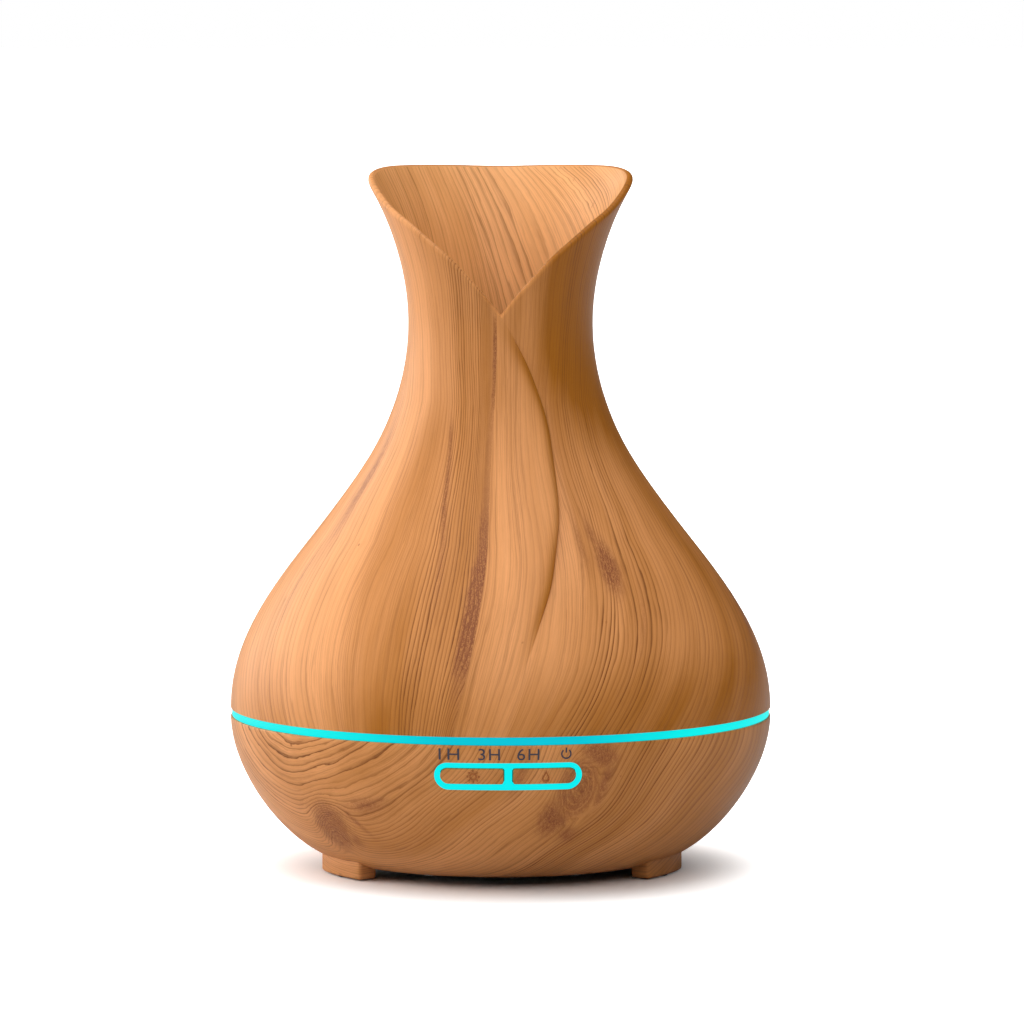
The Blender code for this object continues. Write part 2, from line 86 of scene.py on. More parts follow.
def spline(xs, ys, start=None, end=None):
    x, y = np.array(xs, float), np.array(ys, float)
    n, h = len(x), np.diff(np.array(xs, float))
    a, b = np.zeros((n, n)), np.zeros(n)
    for i in range(1, n - 1):
        a[i, i - 1], a[i, i], a[i, i + 1] = h[i - 1], 2 * (h[i - 1] + h[i]), h[i]
        b[i] = 3 * ((y[i + 1] - y[i]) / h[i] - (y[i] - y[i - 1]) / h[i - 1])
    a[0, 0], a[-1, -1] = 1, 1
    if start is not None:
        a[0, 0], a[0, 1], b[0] = 2 * h[0], h[0], 3 * ((y[1] - y[0]) / h[0] - start)
    if end is not None:
        a[-1, -1], a[-1, -2], b[-1] = 2 * h[-1], h[-1], 3 * (end - (y[-1] - y[-2]) / h[-1])
    c = np.linalg.solve(a, b)

    def at(v):
        v = np.asarray(v, float)
        i = np.clip(np.searchsorted(x, v) - 1, 0, n - 2)
        d = v - x[i]
        s = (y[i + 1] - y[i]) / h[i] - h[i] * (2 * c[i] + c[i + 1]) / 3
        return y[i] + s * d + c[i] * d * d + (c[i + 1] - c[i]) / (3 * h[i]) * d ** 3
    return at


cover_r = spline(COVER_Z, COVER_R, start=0.0)
crest_z = spline(CREST_DEG, CREST_Z, end=0.0)


def rim_z(deg):
    """Height of the outer edge below the lip's crest, which is a half round 2.2 mm thick."""
    c, e = crest_z(deg), 0.5
    run = np.radians(2 * e) * (cover_r(c) - 1.1)
    rise = (crest_z(np.minimum(deg + e, 180)) - crest_z(np.maximum(deg - e, 0))) / run
    flare = (cover_r(c + 0.1) - cover_r(c - 0.1)) / 0.2
    return c - 1.1 / np.sqrt(1 + flare ** 2) * (flare + np.sqrt(1 + np.minimum(rise, 1.6) ** 2))


_cz = spline([p[0] for p in CREASE], [p[1] for p in CREASE])


def crease_deg(z):
    return np.where(np.asarray(z) < 173.6, _cz(np.minimum(z, 173.6)), 0.0)


def smooth(v, a, b):
    t = np.clip((np.asarray(v, float) - a) / (b - a), 0, 1)
    return t * t * (3 - 2 * t)


def crease_height(z):
    z = np.asarray(z, float)
    return (3.1 * smooth(z, 68, 112) * (1 - smooth(z, 148, 173)))


def petal(theta, z):
    """How far the left petal stands proud beside its edge."""
    d = np.radians(crease_deg(z) - theta) * cover_r(z)
    w = 4.4
    roll = np.where(d <= 0, 0, np.sqrt(np.clip(1 - (1 - np.clip(d, 0, w) / w) ** 2, 0, 1)))
    fade = np.exp(-(np.maximum(d - w, 0) / 15) ** 2)
    dip = -0.28 * np.exp(-(np.minimum(d, 0) / 4.0) ** 2) * (d <= 0)
    return crease_height(z) * (roll * fade + dip)


def bowl_curve(n, inset=0.0):
    p = np.array([(BASE_R, BASE_TOP), (BASE_R, 28.5), (64.0, BOWL_BOTTOM),
                  (BOWL_BOTTOM_R, BOWL_BOTTOM)])
    t = np.linspace(0, 1, n + 1)[:, None]
    s = 1 - t
    q = p[0] * s ** 3 + p[1] * 3 * s * s * t + p[2] * 3 * s * t * t + p[3] * t ** 3
    d = (p[1] - p[0]) * 3 * s * s + (p[2] - p[1]) * 6 * s * t + (p[3] - p[2]) * 3 * t * t
    d /= np.linalg.norm(d, axis=1)[:, None]
    return q + np.stack([d[:, 1], -d[:, 0]], 1) * inset


_bc = bowl_curve(400)
_arc = np.concatenate([[0], np.cumsum(np.linalg.norm(np.diff(_bc, axis=0), axis=1))])


def bowl_r(z):
    return np.interp(z, _bc[::-1, 1], _bc[::-1, 0])


def bowl_s(z):
    """Length along the bowl's outside from its top edge."""
    return np.interp(z, _bc[::-1, 1], _arc[::-1])


# ------------------------------------------------------------------ mesh helpers
def link(ob):
    bpy.context.scene.collection.objects.link(ob)
    return ob


def shade(me, angle=35):
    me.shade_smooth()
    me.set_sharp_from_angle(angle=math.radians(angle))


def grid_object(name, P, wrap_v=True, angle=40):
    """P is rows x columns x 3 in millimetres; the columns always join up."""
    nv, nu = P.shape[:2]
    i = np.arange(nv if wrap_v else nv - 1)[:, None]
    j = np.arange(nu)[None, :]
    i2, j2 = (i + 1) % nv, (j + 1) % nu
    quads = np.stack([i * nu + j, i * nu + j2, i2 * nu + j2, i2 * nu + j], -1).reshape(-1, 4)
    me = bpy.data.meshes.new(name)
    me.from_pydata((P.reshape(-1, 3) * MM).tolist(), [], quads.tolist())
    bm = bmesh.new()
    bm.from_mesh(me)
    bmesh.ops.recalc_face_normals(bm, faces=bm.faces)
    bm.to_mesh(me)
    bm.free()
    shade(me, angle)
    return link(bpy.data.objects.new(name, me))


def turned(name, profile, steps=128, at=(0, 0), closed=True, angle=35):
    """Closed (r, z) profile turned about a vertical axis; an open one ends on the axis."""
    bm = bmesh.new()
    vs = [bm.verts.new(((r + 0) * MM, 0, z * MM)) for r, z in profile]
    es = [bm.edges.new(e) for e in zip(vs, vs[1:])]
    if closed:
        es.append(bm.edges.new((vs[-1], vs[0])))
    bmesh.ops.spin(bm, geom=vs + es, cent=(0, 0, 0), axis=(0, 0, 1), angle=math.tau,
                   steps=steps, use_merge=True)
    bmesh.ops.remove_doubles(bm, verts=bm.verts, dist=1e-6)
    bmesh.ops.recalc_face_normals(bm, faces=bm.faces)
    me = bpy.data.meshes.new(name)
    bm.to_mesh(me)
    bm.free()
    me.transform(__import_matrix((at[0] * MM, at[1] * MM, 0)))
    shade(me, angle)
    return link(bpy.data.objects.new(name, me))


def __import_matrix(v):
    from mathutils import Matrix
    return Matrix.Translation(v)


def rounded(profile, radius, n=4):
    """Rounds every corner of a closed (r, z) profile that has room for it."""
    out = []
    m = len(profile)
    for k in range(m):
        a, b, c = (np.array(profile[(k + d) % m], float) for d in (-1, 0, 1))
        u, v = a - b, c - b
        lu, lv = np.linalg.norm(u), np.linalg.norm(v)
        u, v = u / lu, v / lv
        cosang = float(np.clip(u @ v, -1, 1))
        if cosang < -0.97:
            out.append(tuple(b))
            continue
        half = math.acos(cosang) / 2
        cut = min(radius / math.tan(half), 0.45 * lu, 0.45 * lv)
        p, q = b + u * cut, b + v * cut
        for i in range(n + 1):
            t = i / n
            out.append(tuple(p * (1 - t) ** 2 + b * 2 * t * (1 - t) + q * t * t))
    return out


def boxmesh(name, lo, hi, bevel=0.0):
    lo, hi = np.array(lo, float) * MM, np.array(hi, float) * MM
    bm = bmesh.new()
    bmesh.ops.create_cube(bm, size=1.0)
    bmesh.ops.scale(bm, vec=Vector(hi - lo), verts=bm.verts)
    bmesh.ops.translate(bm, vec=Vector((hi + lo) / 2), verts=bm.verts)
    if bevel:
        bmesh.ops.bevel(bm, geom=bm.edges[:], offset=bevel * MM, segments=3, profile=0.5,
                        affect='EDGES')
    me = bpy.data.meshes.new(name)
    bm.to_mesh(me)
    bm.free()
    shade(me)
    return link(bpy.data.objects.new(name, me))


def boolean(ob, cutter, how='DIFFERENCE'):
    """Cuts or joins at once, and throws the cutter away."""
    m = ob.modifiers.new("b", 'BOOLEAN')
    m.operation, m.object, m.solver = how, cutter, 'EXACT'
    bpy.context.view_layer.update()
    dg = bpy.context.evaluated_depsgraph_get()
    me = bpy.data.meshes.new_from_object(ob.evaluated_get(dg))
    ob.modifiers.clear()
    old, ob.data = ob.data, me
    bpy.data.meshes.remove(old)
    bpy.data.objects.remove(cutter, do_unlink=True)


def arc2(cx, cy, r, a0, a1, n):
    t = np.radians(np.linspace(a0, a1, n + 1))
    return [(cx + r * math.cos(a), cy + r * math.sin(a)) for a in t]


def dense(loop, step=0.7):
    out = []
    for a, b in zip(loop, loop[1:] + loop[:1]):
        a, b = np.array(a), np.array(b)
        k = max(1, int(np.linalg.norm(b - a) / step))
        out += [tuple(a + (b - a) * i / k) for i in range(k)]
    return out


def flat(name, loops, depth, bevel=0.0, res=2):
    """Flat outline with holes in millimetres, x right and y up, its front face at z = 0."""
    cu = bpy.data.curves.new(name, 'CURVE')
    cu.dimensions, cu.fill_mode = '2D', 'BOTH'
    cu.extrude = depth / 2 - bevel
    cu.bevel_depth, cu.bevel_resolution = bevel, res
    cu.offset = -bevel
    for loop in loops:
        sp = cu.splines.new('POLY')
        sp.points.add(len(loop) - 1)
        for p, (x, y) in zip(sp.points, loop):
            p.co = (x, y, 0, 1)
        sp.use_cyclic_u = True
    return _curve_mesh(name, cu, depth)


def _curve_mesh(name, cu, depth):
    tmp = link(bpy.data.objects.new(name + "_c", cu))
    bpy.context.view_layer.update()
    me = bpy.data.meshes.new_from_object(tmp.evaluated_get(bpy.context.evaluated_depsgraph_get()))
    bpy.data.objects.remove(tmp, do_unlink=True)
    bm = bmesh.new()
    bm.from_mesh(me)
    bmesh.ops.remove_doubles(bm, verts=bm.verts, dist=0.0005)
    bmesh.ops.recalc_face_normals(bm, faces=bm.faces)
    for v in bm.verts:
        v.co.z -= depth / 2
    bm.to_mesh(me)
    bm.free()
    me.materials.clear()
    me.name = name
    return link(bpy.data.objects.new(name, me))


def lettering(name, text, size, width, depth):
    """One word as a solid, centred, scaled to a width, front face at z = 0."""
    cu = bpy.data.curves.new(name, 'FONT')
    cu.body, cu.size = text, size
    cu.align_x, cu.align_y = 'CENTER', 'CENTER'
    cu.extrude, cu.resolution_u = depth / 2, 4
    cu.space_character = 1.12
    ob = _curve_mesh(name, cu, depth)
    co = coords(ob)
    co[:, 0] = (co[:, 0] - (co[:, 0].min() + co[:, 0].max()) / 2)
    co[:, 0] *= width / (co[:, 0].max() - co[:, 0].min())
    co[:, 1] -= (co[:, 1].min() + co[:, 1].max()) / 2
    set_coords(ob, co)
    return ob


def sliced(ob, step=0.8):
    """Cuts every face along a square grid, so that the piece can bend."""
    bm = bmesh.new()
    bm.from_mesh(ob.data)
    lo = [min(v.co[k] for v in bm.verts) for k in (0, 1)]
    hi = [max(v.co[k] for v in bm.verts) for k in (0, 1)]
    for k in (0, 1):
        no = Vector((1, 0, 0)) if k == 0 else Vector((0, 1, 0))
        for i in range(1, int((hi[k] - lo[k]) / step) + 1):
            bmesh.ops.bisect_plane(bm, geom=bm.verts[:] + bm.edges[:] + bm.faces[:], dist=1e-5,
                                   plane_co=no * (lo[k] + i * step + 0.013), plane_no=no)
    bm.to_mesh(ob.data)
    bm.free()
    return ob


def coords(ob):
    co = np.zeros(len(ob.data.vertices) * 3)
    ob.data.vertices.foreach_get("co", co)
    return co.reshape(-1, 3)


def set_coords(ob, co):
    ob.data.vertices.foreach_set("co", co.astype(np.float32).ravel())
    ob.data.update()


def wrap_on_bowl(ob, proud=0.0):
    """Bends a flat piece (x across, y = height, z outwards) onto the front of the bowl."""
    sliced(ob)
    co = coords(ob)
    x, z, h = co[:, 0], co[:, 1], co[:, 2] + proud
    e = 0.05
    slope = (bowl_r(z + e) - bowl_r(z - e)) / (2 * e)
    n = 1 / np.sqrt(1 + slope ** 2)
    r = bowl_r(z) + h * n
    zz = z - h * slope * n
    a = x / 83.0
    set_coords(ob, np.stack([r * np.sin(a), -r * np.cos(a), zz], 1) * MM)
    bm = bmesh.new()
    bm.from_mesh(ob.data)
    bmesh.ops.recalc_face_normals(bm, faces=bm.faces)
    bm.to_mesh(ob.data)
    bm.free()
    shade(ob.data, 30)
    return ob


# ------------------------------------------------------------------ printed grain
def density(points, total, n=4000):
    """Running count of growth lines along a closed strip; points are (place, spacing)."""
    x = np.linspace(-total / 2, total / 2, n)
    rho = 1 / np.interp(x, [p[0] for p in points], [p[1] for p in points])
    c = np.concatenate([[0], np.cumsum((rho[1:] + rho[:-1]) / 2 * np.diff(x))])
    c *= round(c[-1]) / c[-1]
    return x, c


def bump1(v, c, w):
    return np.exp(-((v - c) / w) ** 2)


LINE_X, LINE_N = density([(-188.5, 2.4), (-90, 2.3), (-70, 2.0), (-50, 2.4), (-30, 2.0),
                          (-23, 1.25), (-8, 1.1), (-4, 1.6), (0, 2.2), (24, 2.1), (30, 1.4),
                          (46, 1.55), (60, 1.9), (90, 2.1), (188.5, 2.4)], 377.0)


def cover_grain(co):
    """co in millimetres, in the cover's own frame. Returns grain and mix, both n x 3."""
    theta = np.degrees(np.arctan2(co[:, 0], -co[:, 1]))
    z = co[:, 2]
    fan = np.interp(z, [105, 115, 133, 147, 160, 173, 218], [0, 3, 6, 10, 20, 26, 30])
    low = np.clip((105 - z) / 55, 0, 1) ** 1.5
    u = theta.copy()
    for _ in range(24):
        u += 0.7 * (theta - (u + fan * np.sin(np.radians(u))
                             - low * (18.7 * np.sin(np.radians(u))
                                      + 7.4 * (1 + np.cos(np.radians(u))) / 2)) - 0)
    U = np.radians(u) * 60
    n = np.interp(U, LINE_X, LINE_N)
    amp = np.interp(U, [-188, -90, -70, -50, -38, -26, -21, -8, -4, -2.5, 2, 25, 31, 45, 60, 80, 188],
                    [.38, .35, .5, .30, .25, .35, .8, .9, .6, .35, .28, .32, .7, .75, .55, .42, .38])
    tone = np.interp(U, [-188, -100, -75, -50, -42, -33, -26, -18, -6, -3.5, 4, 18, 24, 30, 40, 60,
                         90, 140, 188],
                     [.5, .45, .5, .8, .62, .38, .45, .5, .5, .72, .78, .74, .6, .5, .42, .36,
                      .42, .58, .5])
    # painted shade: a darker, more golden band down the right of the neck
    tone = tone - 0.60 * smooth(z, 128, 165) * np.exp(-((theta - 55) / 38.0) ** 2)
    # painted shade: darker towards the bottom of the cover and at the front of the upper neck
    tone = tone - 0.22 * (1 - smooth(z, 50, 76)) - 0.10 * smooth(z, 140, 160) * np.exp(-(theta / 40.0) ** 2)
    # painted light: lighter on the right of the belly
    tone = tone + 0.22 * bump1(U, 58, 30) * smooth(z, 60, 80) * (1 - smooth(z, 120, 140))
    # painted light and shade: darker on the right flank and lighter on the left, as if lit from the left
    tone = tone - 0.36 * np.exp(-((theta - 88) / 22.0) ** 2) + 0.22 * np.exp(-((theta + 70) / 30.0) ** 2)
    # painted highlight: lighter on the left of the upper neck and down the left flank
    tone = tone + 0.30 * bump1(U, -45, 30) * smooth(z, 135, 155) + 0.18 * bump1(U, -90, 30)
    # painted shade: the print's tone is darkened over the rolled edge of the crease, where the left petal's edge turns
    # away from the light
    d = np.radians(crease_deg(z) - theta) * cover_r(z)
    tone = tone - (0.62 * np.exp(-(d / 2.6) ** 2) * (d > -0.05) * smooth(z, 66, 95) * (1 - smooth(z, 155, 173)))
    dark = np.zeros_like(U)
    tail = bump1(U, 34.5, 6.0) * smooth(-z, -95, -82)
    amp = amp + 0.35 * tail
    # knots towards the left flank and on the back
    for uc, zc, wu, wz, g in ((96, 84, 3.2, 15, .8),
                              (150, 128, 2.6, 22, .7), (-128, 92, 4.2, 13, .9), (121, 60, 1.8, 12, .5)):
        q = np.exp(-((U - uc) / wu) ** 2 - ((z - zc) / wz) ** 4)
        dark = np.maximum(dark, g * q)
        n = n + 1.3 * np.tanh((U - uc) / (0.8 * wu)) * np.exp(-((U - uc) / (2.6 * wu)) ** 2
                                                               - ((z - zc) / (1.8 * wz)) ** 2)
    # mild waviness that a real board has
    n = n + 0.22 * np.sin(z / 21.0 + U / 17.0) + 0.12 * np.sin(z / 8.7 - U / 9.0)
    side = np.zeros(len(z))
    return (np.stack([U, z, n], 1), np.stack([amp, np.clip(dark, 0, 1), tone], 1),
            np.stack([U, z, side], 1))


def cover_lining(co):
    """Print inside the mouth: boards fan to the right as they go down."""
    theta = np.degrees(np.arctan2(co[:, 0], -co[:, 1]))
    z = co[:, 2]
    beta = (180 - theta + 180) % 360 - 180
    h = np.clip(217 - z, 0.01, 90) * 0.00033
    q = beta + 60
    b0 = np.where(q > 0, (-1 + np.sqrt(1 + 4 * h * np.maximum(q, 0))) / (2 * h), q) - 60
    U = b0 * 0.733
    x = [-132, -44, -20, -9, -7.5, -1, 1, 13, 16, 19, 30, 34, 132]
    gx = np.linspace(-140, 140, 3000)
    gr = 1 / np.interp(gx, x, [1.7, 1.7, 1.5, 2.2, 2.6, 2.9, 2.2, 2.4, 2.6, 1.7, 1.6, 2.0, 2.2])
    cum = np.concatenate([[0], np.cumsum((gr[1:] + gr[:-1]) / 2 * np.diff(gx))])
    n = np.interp(U, gx, cum) + 0.15 * np.sin(z / 9.0 + U / 6)
    amp = 0.62 * np.interp(U, x, [.7, .8, .6, .75, .8, .8, .5, .5, .6, 1.3, 1.3, .9, .6])
    tone = np.interp(U, [-132, -40, -15, 0, 12, 30, 60], [.45, .62, .72, .9, .95, .72, .5])
    dark = 0.34 * bump1(U, -5.8, 0.5) + 0.5 * bump1(U, 20.5, 0.7) + 0.3 * bump1(U, 26.0, 0.6)
    return (np.stack([U, z, n], 1), np.stack([amp, np.clip(dark, 0, 1), tone], 1),
            np.stack([U + 400, z, np.ones(len(z))], 1))


RING_X = np.linspace(0, 260, 3000)
_rho = 1 / np.interp(RING_X, [0, 30, 56, 63, 84, 92, 101, 106, 118, 124, 150, 260],
                     [2.3, 2.3, 2.2, 1.25, 1.3, 2.1, 2.0, 1.05, 1.1, 1.7, 2.3, 2.6])
RING_N = np.concatenate([[0], np.cumsum((_rho[1:] + _rho[:-1]) / 2 * np.diff(RING_X))])


def base_grain(co):
    """Grain of the bowl: growth rings about a point above the left front, two knots."""
    phi = np.arctan2(co[:, 0], -co[:, 1])
    z = co[:, 2]
    s = bowl_s(np.clip(z, BOWL_BOTTOM, BASE_TOP))
    s = s + np.clip(BOWL_BOTTOM_R - np.hypot(co[:, 0], co[:, 1]), 0, 60) * (z < 8)
    a = phi * 80
    pc = -68 / 80.0
    dx = 160 * np.sin((phi - pc) / 2)
    F = np.sqrt(dx ** 2 + (s + 30) ** 2)
    F = F + 1.4 * np.sin(a / 9.0 + s / 14) * np.exp(-((a + 60) / 34) ** 2)
    F = F + 0.8 * np.sin(a / 15.0 - s / 6.5)
    n = np.interp(F, RING_X, RING_N)
    amp = np.interp(F, [0, 40, 58, 64, 84, 92, 101, 106, 118, 126, 150, 260],
                    [.7, .85, .8, .6, .55, .4, .45, 1.0, .95, .5, .35, .38])
    tone = np.interp(F, [0, 40, 60, 72, 85, 98, 106, 116, 130, 150, 180, 260],
                     [.66, .64, .52, .5, .62, .55, .42, .45, .5, .40, .42, .42])
    # painted light and shade: lighter low on the bowl where it curves under, darker on the right flank, lighter on the
    # left
    tone = tone + 0.16 * smooth(s, 26, 48) - 0.30 * np.exp(-((np.degrees(phi) - 88) / 22.0) ** 2)
    tone = tone + 0.20 * np.exp(-((np.degrees(phi) + 80) / 28.0) ** 2)
    dark = np.zeros_like(a)
    for ac, zc, wa, wz, g in ((132, 30, 7, 8, .8), (-170, 36, 9, 6, .75), (212, 22, 6, 7, .6)):
        da = (a - ac + 251.3) % 502.65 - 251.3
        q = np.exp(-(da / wa) ** 2 - ((z - zc) / wz) ** 2)
        n = n + 3.0 * q
        dark = np.maximum(dark, g * np.exp(-(da / (wa * .75)) ** 4 - ((z - zc) / (wz * .75)) ** 4))
    along = np.arctan2(s + 30, dx) * 90
    return (np.stack([F, along, n], 1), np.stack([amp, np.clip(dark, 0, 1), tone], 1),
            np.stack([a, s, np.zeros(len(a))], 1))


def paint(ob, fn, lining=None, rows=None):
    """Writes the grain field onto a mesh as three vector attributes."""
    co = coords(ob) / MM
    vals = [np.array(v) for v in fn(co)]
    if lining:
        for v, w in zip(vals, lining(co[rows])):
            v[rows] = w
    for name, val in zip(("grain", "print_and_shade_mix", "place"), vals):
        at = ob.data.attributes.new(name, 'FLOAT_VECTOR', 'POINT')
        at.data.foreach_set("vector", val.astype(np.float32).ravel())


# ------------------------------------------------------------------ materials
def srgb(r, g, b):
    def f(c):
        c /= 255
        return c / 12.92 if c <= 0.04045 else ((c + 0.055) / 1.055) ** 2.4
    return (f(r), f(g), f(b), 1.0)


class Net:
    """Small helper for node graphs."""

    def __init__(self, name):
        self.m = bpy.data.materials.new(name)
        self.m.use_nodes = True
        self.t = self.m.node_tree
        self.bsdf = self.t.nodes["Principled BSDF"]

    def put(self, sock, v):
        if isinstance(v, bpy.types.NodeSocket):
            self.t.links.new(v, sock)
        else:
            sock.default_value = v

    def math(self, op, a, b=0.0, c=0.0, clamp=False):
        n = self.t.nodes.new("ShaderNodeMath")
        n.operation, n.use_clamp = op, clamp
        for s, v in zip(n.inputs, (a, b, c)):
            self.put(s, v)
        return n.outputs[0]

    def mix(self, f, a, b, blend='MIX'):
        n = self.t.nodes.new("ShaderNodeMix")
        n.data_type, n.blend_type = 'RGBA', blend
        self.put(n.inputs[0], f)
        self.put(n.inputs[6], a)
        self.put(n.inputs[7], b)
        return n.outputs[2]

    def ramp(self, f, stops, interp='LINEAR'):
        n = self.t.nodes.new("ShaderNodeValToRGB")
        n.color_ramp.interpolation = interp
        el = n.color_ramp.elements
        while len(el) < len(stops):
            el.new(0.5)
        for e, (p, v) in zip(el, stops):
            e.position = p
            e.color = v if isinstance(v, tuple) else (v, v, v, 1)
        self.put(n.inputs[0], f)
        return n.outputs[0]

    def vec(self, x, y, z=0.0):
        n = self.t.nodes.new("ShaderNodeCombineXYZ")
        for s, v in zip(n.inputs, (x, y, z)):
            self.put(s, v)
        return n.outputs[0]

    def noise(self, vec, scale=1.0, detail=2.0, rough=0.5, distort=0.0):
        n = self.t.nodes.new("ShaderNodeTexNoise")
        self.put(n.inputs["Vector"], vec)
        n.inputs["Scale"].default_value = scale
        n.inputs["Detail"].default_value = detail
        n.inputs["Roughness"].default_value = rough
        n.inputs["Distortion"].default_value = distort
        return n.outputs[0]

    def attr(self, name):
        n = self.t.nodes.new("ShaderNodeAttribute")
        n.attribute_name = name
        s = self.t.nodes.new("ShaderNodeSeparateXYZ")
        self.t.links.new(n.outputs["Vector"], s.inputs[0])
        return s.outputs[0], s.outputs[1], s.outputs[2]

    def obj(self):
        return self.t.nodes.new("ShaderNodeTexCoord").outputs["Object"]

    def bump(self, h, strength, dist):
        n = self.t.nodes.new("ShaderNodeBump")
        n.inputs["Strength"].default_value = strength
        n.inputs["Distance"].default_value = dist
        self.put(n.inputs["Height"], h)
        self.t.links.new(n.outputs[0], self.bsdf.inputs["Normal"])

    def set(self, **kw):
        for k, v in kw.items():
            self.put(self.bsdf.inputs[k.replace("_", " ")], v)
        return self.m


def blob(g, A, B, at, size, turn=0.0, power=1, rough=None, amount=0.0):
    """Soft ellipse on the surface; returns its mask and its squared radius."""
    M = g.math
    c, sn = math.cos(math.radians(turn)), math.sin(math.radians(turn))
    da, db = M('SUBTRACT', A, at[0]), M('SUBTRACT', B, at[1])
    x = M('MULTIPLY', M('ADD', M('MULTIPLY', da, c), M('MULTIPLY', db, sn)), 1 / size[0])
    y = M('MULTIPLY', M('SUBTRACT', M('MULTIPLY', db, c), M('MULTIPLY', da, sn)), 1 / size[1])
    r2 = M('ADD', M('MULTIPLY', x, x), M('MULTIPLY', y, y))
    if rough is not None:
        r2 = M('MAXIMUM', M('ADD', r2, M('MULTIPLY', M('SUBTRACT', rough, 0.5), amount)), 0.0)
    e = M('POWER', r2, float(power)) if power != 1 else r2
    return M('EXPONENT', M('MULTIPLY', e, -1.0)), r2


def curve_of(g, v, pts):
    """Smooth function of one value, read off listed points."""
    lo, hi = pts[0][0], pts[-1][0]
    top = max(p[1] for p in pts) or 1.0
    f = g.math('DIVIDE', g.math('SUBTRACT', v, lo), hi - lo, clamp=True)
    return g.math('MULTIPLY', g.ramp(f, [((p - lo) / (hi - lo), q / top) for p, q in pts], 'EASE'), top)


def cover_features(g, A, B, n, rag, fine):
    M = g.math
    # long flame left of the middle: sharp right edge, cathedral arcs on its left
    edge = M('ADD', -4.0, curve_of(g, B, [(126, 0.0), (164, 2.3)]))
    d = M('SUBTRACT', A, edge)
    w = curve_of(g, B, [(45, 2.4), (60, 4.2), (72, 5.6), (90, 5.8), (107, 4.0), (128, 3.0), (150, 2.0)])
    a = curve_of(g, B, [(45, .10), (56, .2), (64, .35), (71, .9), (78, 1), (98, 1), (110, .8), (118, .45),
                        (126, .25), (140, .35), (152, .8), (166, 1.0), (172, .6), (176, .0)])
    left = M('ADD', M('ADD', M('DIVIDE', d, w), 1.0), M('MULTIPLY', M('SUBTRACT', rag, 0.5), 0.55), clamp=True)
    cut = M('SUBTRACT', 1.0, M('MULTIPLY_ADD', d, 4.0, 0.5, clamp=True), clamp=True)
    body = g.ramp(left, [(0.02, 0.0), (0.42, 1.0)], 'EASE')
    dark = M('MULTIPLY', M('MULTIPLY', a, body), cut)
    wide = M('ADD', M('DIVIDE', d, 8.0), 1.0, clamp=True)
    wide = M('MULTIPLY', M('MULTIPLY', wide, wide), cut)
    n = M('ADD', n, M('MULTIPLY', wide, curve_of(g, B, [(88, 0.0), (112, 7.0), (140, 12.0)])))
    n = M('ADD', n, M('MULTIPLY', wide, curve_of(g, B, [(50, 4.5), (76, 0.0), (80, 0.0)])))
    # thin reddish streak left of it
    axis = M('MULTIPLY_ADD', B, -3.6 / 26, -19.0 + 3.6 * 107 / 26)
    t = M('DIVIDE', M('SUBTRACT', A, axis), 1.15)
    t = M('EXPONENT', M('MULTIPLY', M('MULTIPLY', t, t), -1.0))
    t = M('MULTIPLY', t, curve_of(g, B, [(80, 0.0), (104, .45), (116, .85), (136, .75), (146, 0.0)]))
    dark = M('MAXIMUM', dark, t)
    lines = M('MULTIPLY', wide, 0.35)
    for at, size, turn, power, amt, push, gain in (
            ((34.0, 98.5), (3.5, 8.5), 10, 2, 1.3, 2.6, 1.0), ((31.0, 107.5), (1.5, 5.0), 12, 1, .8, .6, .75),
            ((26.3, 105.0), (1.3, 7.5), 5, 1, .6, .5, .55), ((-66, 121), (3.0, 17), -3, 1, .9, 1.2, .85),
            ((-71, 92), (1.5, 13), 0, 1, .7, .5, .4), ((43, 83), (1.1, 9), 0, 1, .5, .4, .3)):
        m, r2 = blob(g, A, B, at, size, turn, power, rag, amt)
        dark = M('MAXIMUM', dark, M('MULTIPLY', m, gain))
        spread, _ = blob(g, A, B, at, (size[0] * 2.3, size[1] * 1.9), turn)
        swing = M('TANH', M('DIVIDE', M('SUBTRACT', A, at[0]), size[0] * 0.8))
        n = M('ADD', n, M('MULTIPLY', M('MULTIPLY', swing, spread), push * 0.6))
    return n, dark, lines


